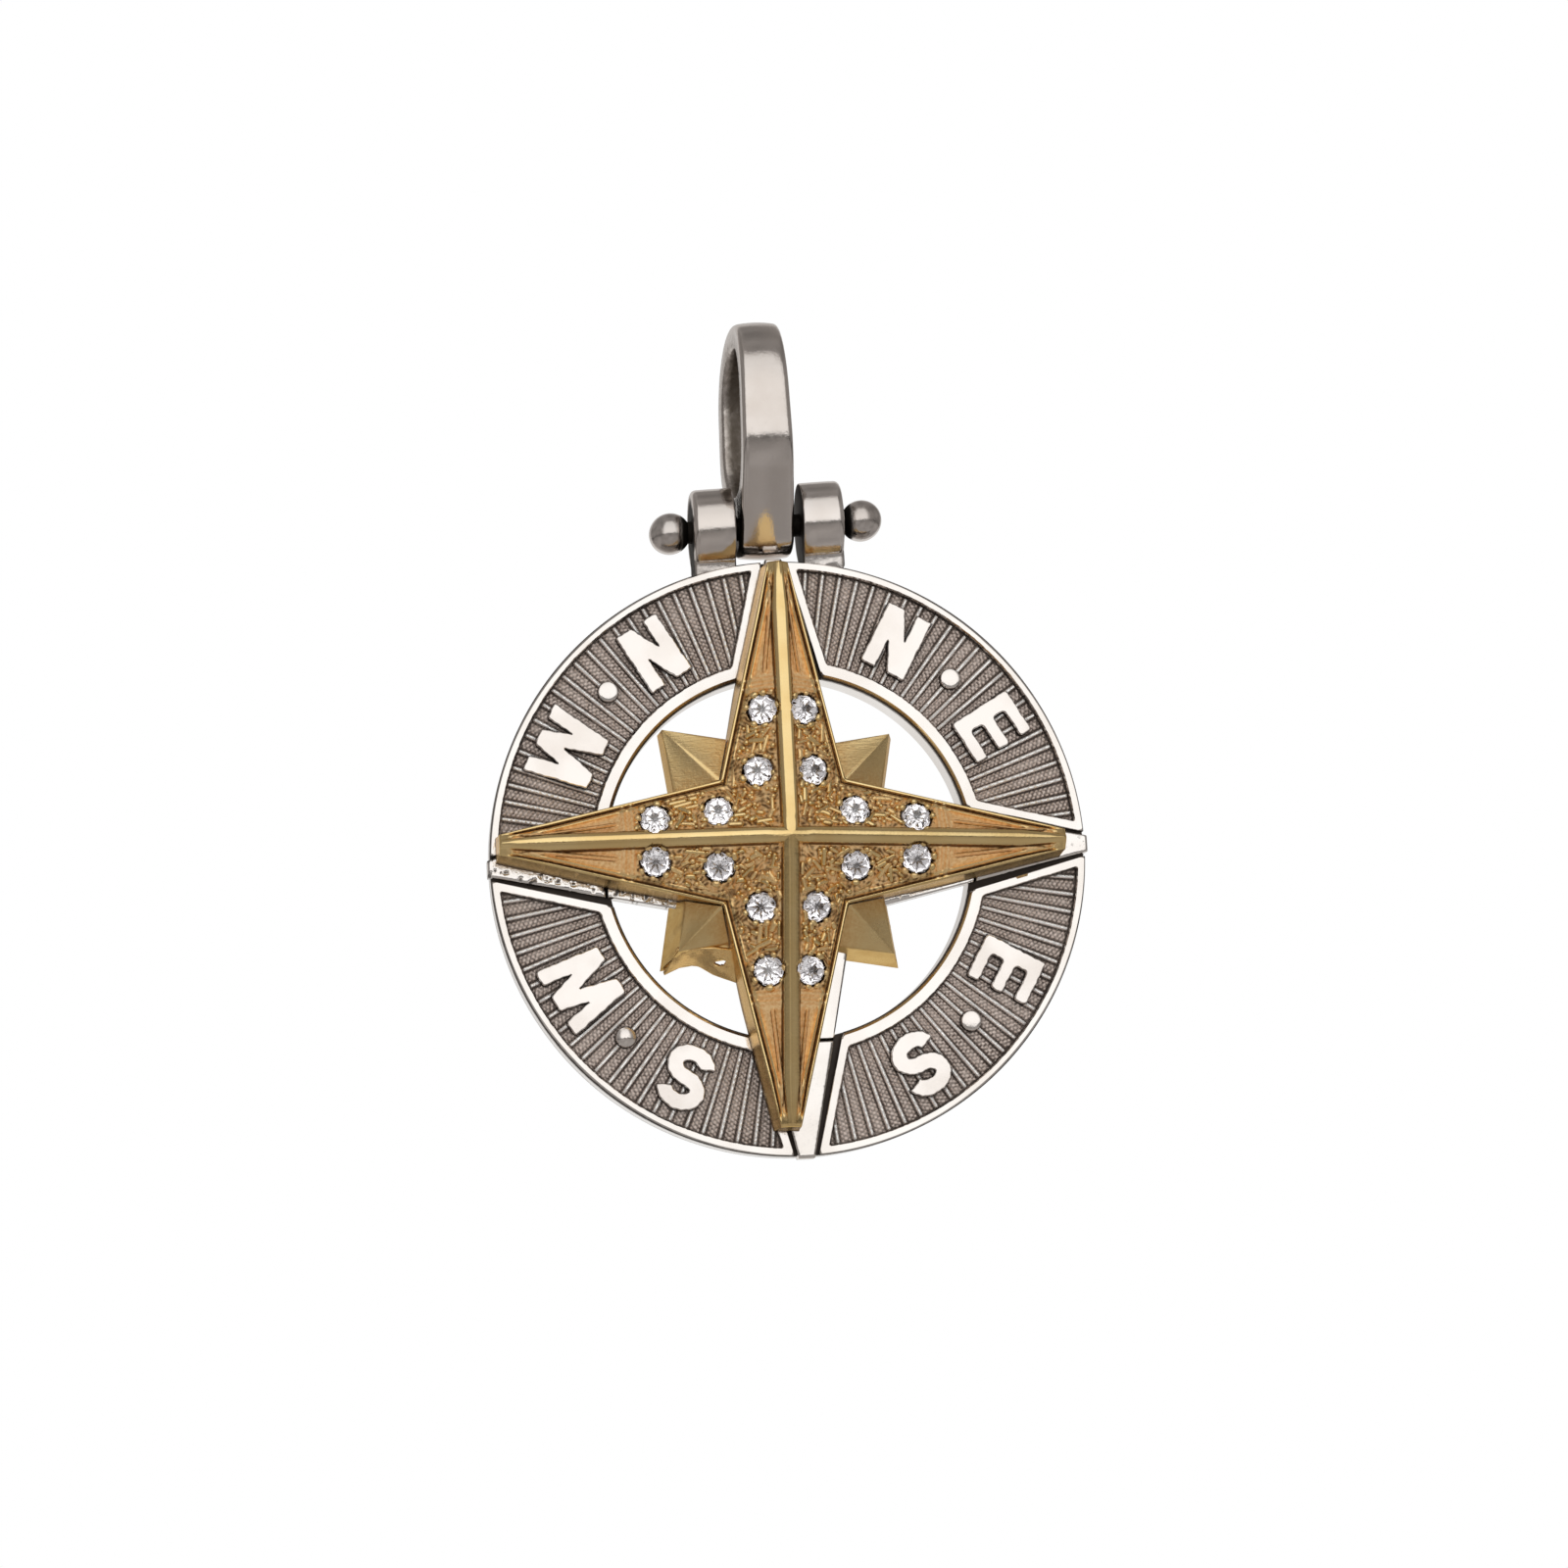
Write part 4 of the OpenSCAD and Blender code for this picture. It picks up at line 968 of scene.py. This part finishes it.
def star_top(plan, flat):
    """Height of the star's top over its plan, from the plain roof: a flat-topped rib along the
    ridge, two wires with a groove between along the edge, a sunk field with a slim rib and two
    bars beyond the stones, and a cup with a raised collar for each stone. Also how matt it is,
    and how much painted shade lies there: dark lines in the grooves and round the stones, dark
    between the grains, and full dark in the cups under the stones."""
    x, y = plan[..., 0], plan[..., 1]
    big, small = out_and_aside(x, y)
    width = star_root - star_flare * big
    squeeze = np.where(big > star_corner, np.clip(width / 0.9, 0.3, 1), 1)
    m, d = small / squeeze, (width - small) / star_slant / squeeze
    tip = smooth(big, *tip_fade)
    rib = np.interp(m, [0, flat, 0.30, 0.33, 0.38],
                    [-0.024, -0.024 + (slope - 0.1) * flat, 0.11, 0.07, 0])
    wire = np.interp(d, [0, 0.015, 0.06, 0.10, 0.13, 0.16], [0.02, 0.085, 0.065, 0.03, 0, 0])
    high = (rib + wire) * squeeze * (1 - 0.5 * tip)
    high = high - 0.10 * np.clip((big - star_reach + 0.06) / 0.06, 0, 1) ** 2
    sunk = np.interp(m, [0.31, 0.37], [0, 1]) * (1 - tip) * np.interp(
        d, [0.10, 0.16, 0.21, 0.27, 0.33, 0.39, 0.45], [0, 0.9, 0.9, 0.25, 0.3, 0.9, 1])
    out = smooth(big, *slim_start)
    deep = -(0.18 * squeeze + 0.08 * out) * sunk
    open_w = np.maximum(width - 0.37 - 0.47 * star_slant, 0.02)
    slim = 0.24 * np.exp(-((small - 0.37 - 0.5 * open_w) / 0.06) ** 2) * out
    slim = slim * smooth(big, tip_fade[0], tip_fade[0] - 0.5)
    bars = 0.22 * sum(np.exp(-((big - at) / 0.08) ** 2) for at in bar_at)
    deep = deep + np.minimum((slim + bars * (1 - out)) * sunk, -deep * 0.9)
    h = face_height(x, y) + high + deep
    off = plan[..., None, :] - seats[:, :2]
    girdle = seats[:, 2] - (off * axes[:, :2]).sum(-1) / axes[:, 2]
    rho = np.sqrt((off ** 2).sum(-1) + (girdle - seats[:, 2]) ** 2)
    pick = rho.argmin(-1)[..., None]
    rho, girdle = (np.take_along_axis(a, pick, -1)[..., 0] for a in (rho, girdle))
    field = np.interp(m, [0.33, 0.42], [0, 1]) * np.interp(d, [0.16, 0.24], [0, 1])
    collar = girdle + 0.035 - 1.6 * np.clip(rho - seat_r - 0.09, 0, 1)
    h = np.where((rho > seat_r) & (rho < 1.1), h + field * np.maximum(collar - h, 0), h)
    h = np.where(rho < seat_r, np.minimum(h, girdle - 0.02 - 0.85 * (1 - rho / seat_r)), h)
    # Painted shade: dark lines beside the rib, inside the wires, beside the slim rib and round each
    # stone, dark between the grains, and full dark in the cups under the stones.
    soot = 0.95 * np.exp(-((m - 0.36) / 0.04) ** 2) * (big > 0.5)
    soot = np.maximum(soot, 0.9 * np.exp(-((d - 0.18) / 0.05) ** 2))
    soot = np.maximum(soot, 0.8 * out * sunk * np.exp(-((slim - 0.05) / 0.04) ** 2))
    soot = np.maximum(soot, 0.8 * np.exp(-((rho - seat_r) / 0.035) ** 2)) * (1 - tip)
    grainy = np.sin(13 * x + 3 * np.sin(9 * y)) * np.sin(15 * y + 3 * np.sin(8 * x))
    soot = np.maximum(soot, (0.42 + 0.40 * grainy) * field * (big < grain_end) * (m > 0.42))
    soot = np.maximum(soot, rho < seat_r)
    return h, sunk, soot


def foot_spread(plan, off):
    """The plan of the walls lower down: outwards by off beyond the short points, and a little
    past the tip."""
    big, m = plan[:, 0], np.abs(plan[:, 1])
    wide = np.where(m > 0, np.sign(plan[:, 1]), 1)
    off = off * smooth(big, *wall_start)
    far = np.where(big > star_reach - 1e-6, big + 0.4 * off, big)
    return np.stack([far, wide * m * (1 + off * star_slant / (star_root - star_flare * big))], 1)


parts, dulls, soots = [], [], []
for arm in range(4):
    for side in (1, -1):
        width = np.where(rows_m < star_corner, rows_m, star_root - star_flare * rows_m)
        squeeze = np.minimum(1, width / 0.9)[:, None]
        inner_m = rib_cols[None] * squeeze
        outer_m = width[:, None] - wire_cols[None] * squeeze * star_slant
        t = np.linspace(0, 1, field_n + 2)[1:-1]
        field_m = inner_m[:, -1:] + (outer_m[:, :1] - inner_m[:, -1:]) * t
        m_at = np.concatenate([inner_m, field_m, outer_m], 1)
        big = np.broadcast_to(rows_m[:, None], m_at.shape)
        plan = np.stack([big, side * m_at], -1)
        rise, dull, soot = star_top(quarter_turns(plan, arm), rib_flat[arm])
        plan[..., 1] += (rib_aside[arm] * np.clip(1 - m_at / (0.38 * squeeze + 1e-9), 0, 1)
                         * squeeze * smooth(big, 0.4, 1.0))
        count_m, count_c = m_at.shape
        path = np.concatenate([np.arange(corner_row, count_m) * count_c + count_c - 1,
                               (count_m - 1) * count_c + np.arange(count_c - 1)[::-1]])
        top_rise = rise.reshape(-1)[path]
        edge_plan = plan.reshape(-1, 2)[path]
        wall_h = [np.minimum(top_rise - 0.03, star_edge), 0 * top_rise + 1.5, 0 * top_rise + 0.8,
                  0 * top_rise + star_base + 0.05, 0 * top_rise + star_base]
        walls_p = [foot_spread(edge_plan, off) for off in wall_spread]
        all_plan = np.concatenate([plan.reshape(-1, 2), *walls_p, [[0, 0]]])
        all_rise = np.concatenate([rise.reshape(-1), *wall_h, [star_base]])
        count_p, base = len(path), count_m * count_c
        seq = [path] + [base + k * count_p + np.arange(count_p) for k in range(5)]
        faces = [net(count_m, count_c)]
        faces += [np.stack([a[:-1], a[1:], b[1:], b[:-1]], -1) for a, b in zip(seq, seq[1:])]
        faces.append([[base + 5 * count_p] + seq[-1].tolist()])
        parts.append((on_star(quarter_turns(all_plan, arm), all_rise), faces))
        # Down the walls the gold turns matt, and near the foot it is painted dark brown as contact
        # shade.
        dulls += [dull, np.repeat([0.1, 0.2, 0.4, 0.5, 0.5], count_p), [0]]
        soots += [soot, np.repeat([0, 0, 0.15, 0.8, 1.0], count_p), [0]]
piece("long_star_gold", parts, star_gold, ["star_long"], slot="yellow_gold", tarnish=dulls,
      soot=soots, crisp=60)

# Grain work
# The setter raised the gold round each stone with a graver, and pushed beads of it over the
# girdle. The rest of each face is left full of short curls and dots, all of the star's own gold.


def rods(middle, along, normal, half, radius, bow):
    """Round-ended rods, one for each row: rings stand along the axis from end to end, their
    radius follows a half circle at both ends, and the axis bows aside on a parabola."""
    polar = np.radians([-90, -50, -15, 0, 0, 15, 50, 90])
    turn = np.arange(8) * np.pi / 4
    aside = np.cross(normal, along)
    axial = np.repeat([-1, 1], 4) * half[:, None] + radius[:, None] * np.sin(polar)
    bowed = bow[:, None] * (1 - (axial / (half + radius)[:, None]) ** 2)
    centre = middle[:, None] + along[:, None] * axial[..., None] + aside[:, None] * bowed[..., None]
    ring = (np.cos(turn)[:, None] * aside[:, None]
            + np.sin(turn)[:, None] * normal[:, None])[:, None]
    spots = centre[:, :, None] + (radius[:, None] * np.cos(polar))[..., None, None] * ring
    faces = net(8, 8, False, True) + 64 * np.arange(len(middle))[:, None, None]
    return spots.reshape(-1, 3), faces.reshape(-1, 4)


rib_room, wire_room = 0.46, 0.42
draw = np.random.default_rng(11)
count = 9000
tries = draw.uniform(-6.3, 6.3, (count, 2))
flip_xy = np.abs(tries[:, :1]) < np.abs(tries[:, 1:])
fall = np.where(np.hstack([flip_xy, ~flip_xy]), 1, star_flare) * np.sign(tries) * slope
normal = np.hstack([fall, np.ones((count, 1))])
normal /= np.linalg.norm(normal, axis=1)[:, None]
aim = draw.uniform(0, np.pi, count)
along = np.stack([np.cos(aim), np.sin(aim), 0 * aim], 1)
along -= normal * (along * normal).sum(1)[:, None]
along /= np.linalg.norm(along, axis=1)[:, None]
radius = draw.uniform(0.08, 0.14, count)
half = draw.uniform(0.05, 0.36, count) * (draw.random(count) < 0.8)
bow = draw.uniform(-0.2, 0.2, count) * (half > 0.1)
middle = np.hstack([tries, (face_height(*tries.T) - 0.12)[:, None]])
ends = middle[:, None] + along[:, None] * half[:, None, None] * np.array([-1, 0, 1])[:, None]
big, small = out_and_aside(ends[..., 0], ends[..., 1])
free = (star_root - star_flare * big - small) / star_slant
same = (np.abs(ends[..., 0]) < np.abs(ends[..., 1])) == flip_xy
fits = (small > rib_room) & (free > wire_room) & (big < grain_end) & same
clear = np.linalg.norm(ends[:, :, None, :2] - seats[:, :2], axis=-1).min(-1) > stone_r + 0.06
chosen = []
for k in np.flatnonzero((fits & clear).all(1)):
    if chosen:
        far = np.linalg.norm(ends[chosen][:, :, None] - ends[k], axis=-1).min((1, 2))
        if (far < 0.62 * (radius[chosen] + radius[k])).any():
            continue
    chosen.append(k)
claws = 7
spin = (draw.uniform(0, 6.28, 16)[:, None] + np.arange(claws) * 2 * np.pi / claws
        + draw.uniform(-0.2, 0.2, (16, claws)))[..., None]
side_a = np.cross(axes, [0, 0, 1])
side_a /= np.linalg.norm(side_a, axis=1)[:, None]
side_b = np.cross(axes, side_a)
claw_r = draw.uniform(0.11, 0.16, (16, claws))
outer = np.cos(spin) * side_a[:, None] + np.sin(spin) * side_b[:, None]
claw_at = seats[:, None] + outer * (stone_r + 0.45 * claw_r)[..., None] + axes[:, None] * 0.02
claw_way = np.cross(axes[:, None], outer)
count = 16 * claws
spots, faces = rods(
    np.concatenate([middle[chosen], claw_at.reshape(-1, 3)]),
    np.concatenate([along[chosen], claw_way.reshape(-1, 3)]),
    np.concatenate([normal[chosen], np.repeat(axes, claws, 0)]),
    np.concatenate([half[chosen], draw.uniform(0.01, 0.05, count)]),
    np.concatenate([radius[chosen], claw_r.ravel()]),
    np.concatenate([bow[chosen], np.zeros(count)]))
shine = np.repeat(draw.uniform(0.0, 0.6, len(chosen) + count), 64)
piece("grain_work", [(on_star(spots[:, :2], spots[:, 2]), faces)], star_gold, slot="yellow_gold",
      crisp=80, tarnish=[shine])

# Stones
# Sixteen small white stones, round brilliants with a flat table, sit low in the grain, four on
# each point. Beads of gold raised round each girdle hold it, a little turned from the next.
table_r, crown_h, girdle_h, pavilion_h = 0.37, 0.20, 0.04, 0.54
ice = bpy.data.materials.new("white_stone")
ice.use_nodes = True
body = ice.node_tree.nodes["Principled BSDF"]
body.inputs["Base Color"].default_value = (0.97, 0.955, 1.0, 1)
body.inputs["Roughness"].default_value = 0.0
body.inputs["IOR"].default_value = 2.42
body.inputs["Transmission Weight"].default_value = 1.0


def brilliant():
    """A round brilliant about its own axis, girdle foot at 0: table, eight star facets, eight
    kites and sixteen break facets above, girdle, and eight mains and sixteen breaks below."""
    def ring(radius, z, start):
        a = np.arange(8) * np.pi / 4 + start
        return np.stack([radius * np.cos(a), radius * np.sin(a), 0 * a + z], 1)
    half_step, c = np.pi / 8, math.cos(np.pi / 8)
    star_share, low_share = 0.5, 0.75
    star_rr = (table_r + star_share * (stone_r - table_r)) / c
    star_z = girdle_h + crown_h * (1 - star_share)
    low_rr = stone_r * (1 - low_share) / c
    low_z = -pavilion_h * low_share
    points = np.concatenate([
        ring(table_r, girdle_h + crown_h, 0), ring(star_rr, star_z, half_step),
        ring(stone_r, girdle_h, 0), ring(stone_r, girdle_h, half_step),
        ring(stone_r, 0, 0), ring(stone_r, 0, half_step),
        ring(low_rr, low_z, half_step), [[0, 0, -pavilion_h]]])
    k = np.arange(8)
    n = (k + 1) % 8
    tri = [np.stack([k, 8 + k, n], 1), np.stack([8 + k, 16 + k, 24 + k], 1),
           np.stack([8 + k, 24 + k, 16 + n], 1), np.stack([48 + k, 40 + k, 32 + k], 1),
           np.stack([48 + k, 32 + n, 40 + k], 1)]
    quad = [np.stack([n, 8 + k, 16 + n, 8 + n], 1), np.stack([16 + k, 32 + k, 40 + k, 24 + k], 1),
            np.stack([24 + k, 40 + k, 32 + n, 16 + n], 1),
            np.stack([32 + n, 48 + k, 56 + 0 * k, 48 + n], 1)]
    return points, [*tri, *quad, [list(range(8))]]


stone_slack, stone_lean = 0.985, 0.025
cut, facets = brilliant()
draw = np.random.default_rng(5)
for index, (seat, axis) in enumerate(zip(seats, axes)):
    name = "enws"[index // 4] + "_" + str(index % 4 + 1)
    axis = axis + draw.normal(0, stone_lean, 3)
    axis /= np.linalg.norm(axis)
    side_a = np.cross(axis, [0, 0, 1])
    side_a /= np.linalg.norm(side_a)
    side_b = np.cross(axis, side_a)
    a = draw.uniform(0, 6.28)
    c, s = math.cos(a), math.sin(a)
    east, north = side_a * c + side_b * s, side_b * c - side_a * s
    spots = (seat + (cut[:, :1] * east + cut[:, 1:2] * north) * stone_slack
             + (cut[:, 2:] - 0.01) * axis)
    piece("brilliant_" + name, [(on_star(spots[:, :2], spots[:, 2]), facets)], ice,
          ["stone_" + name], slot="stone", crisp=2)

# Closing
# The box round the visual model is measured.
low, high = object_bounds()
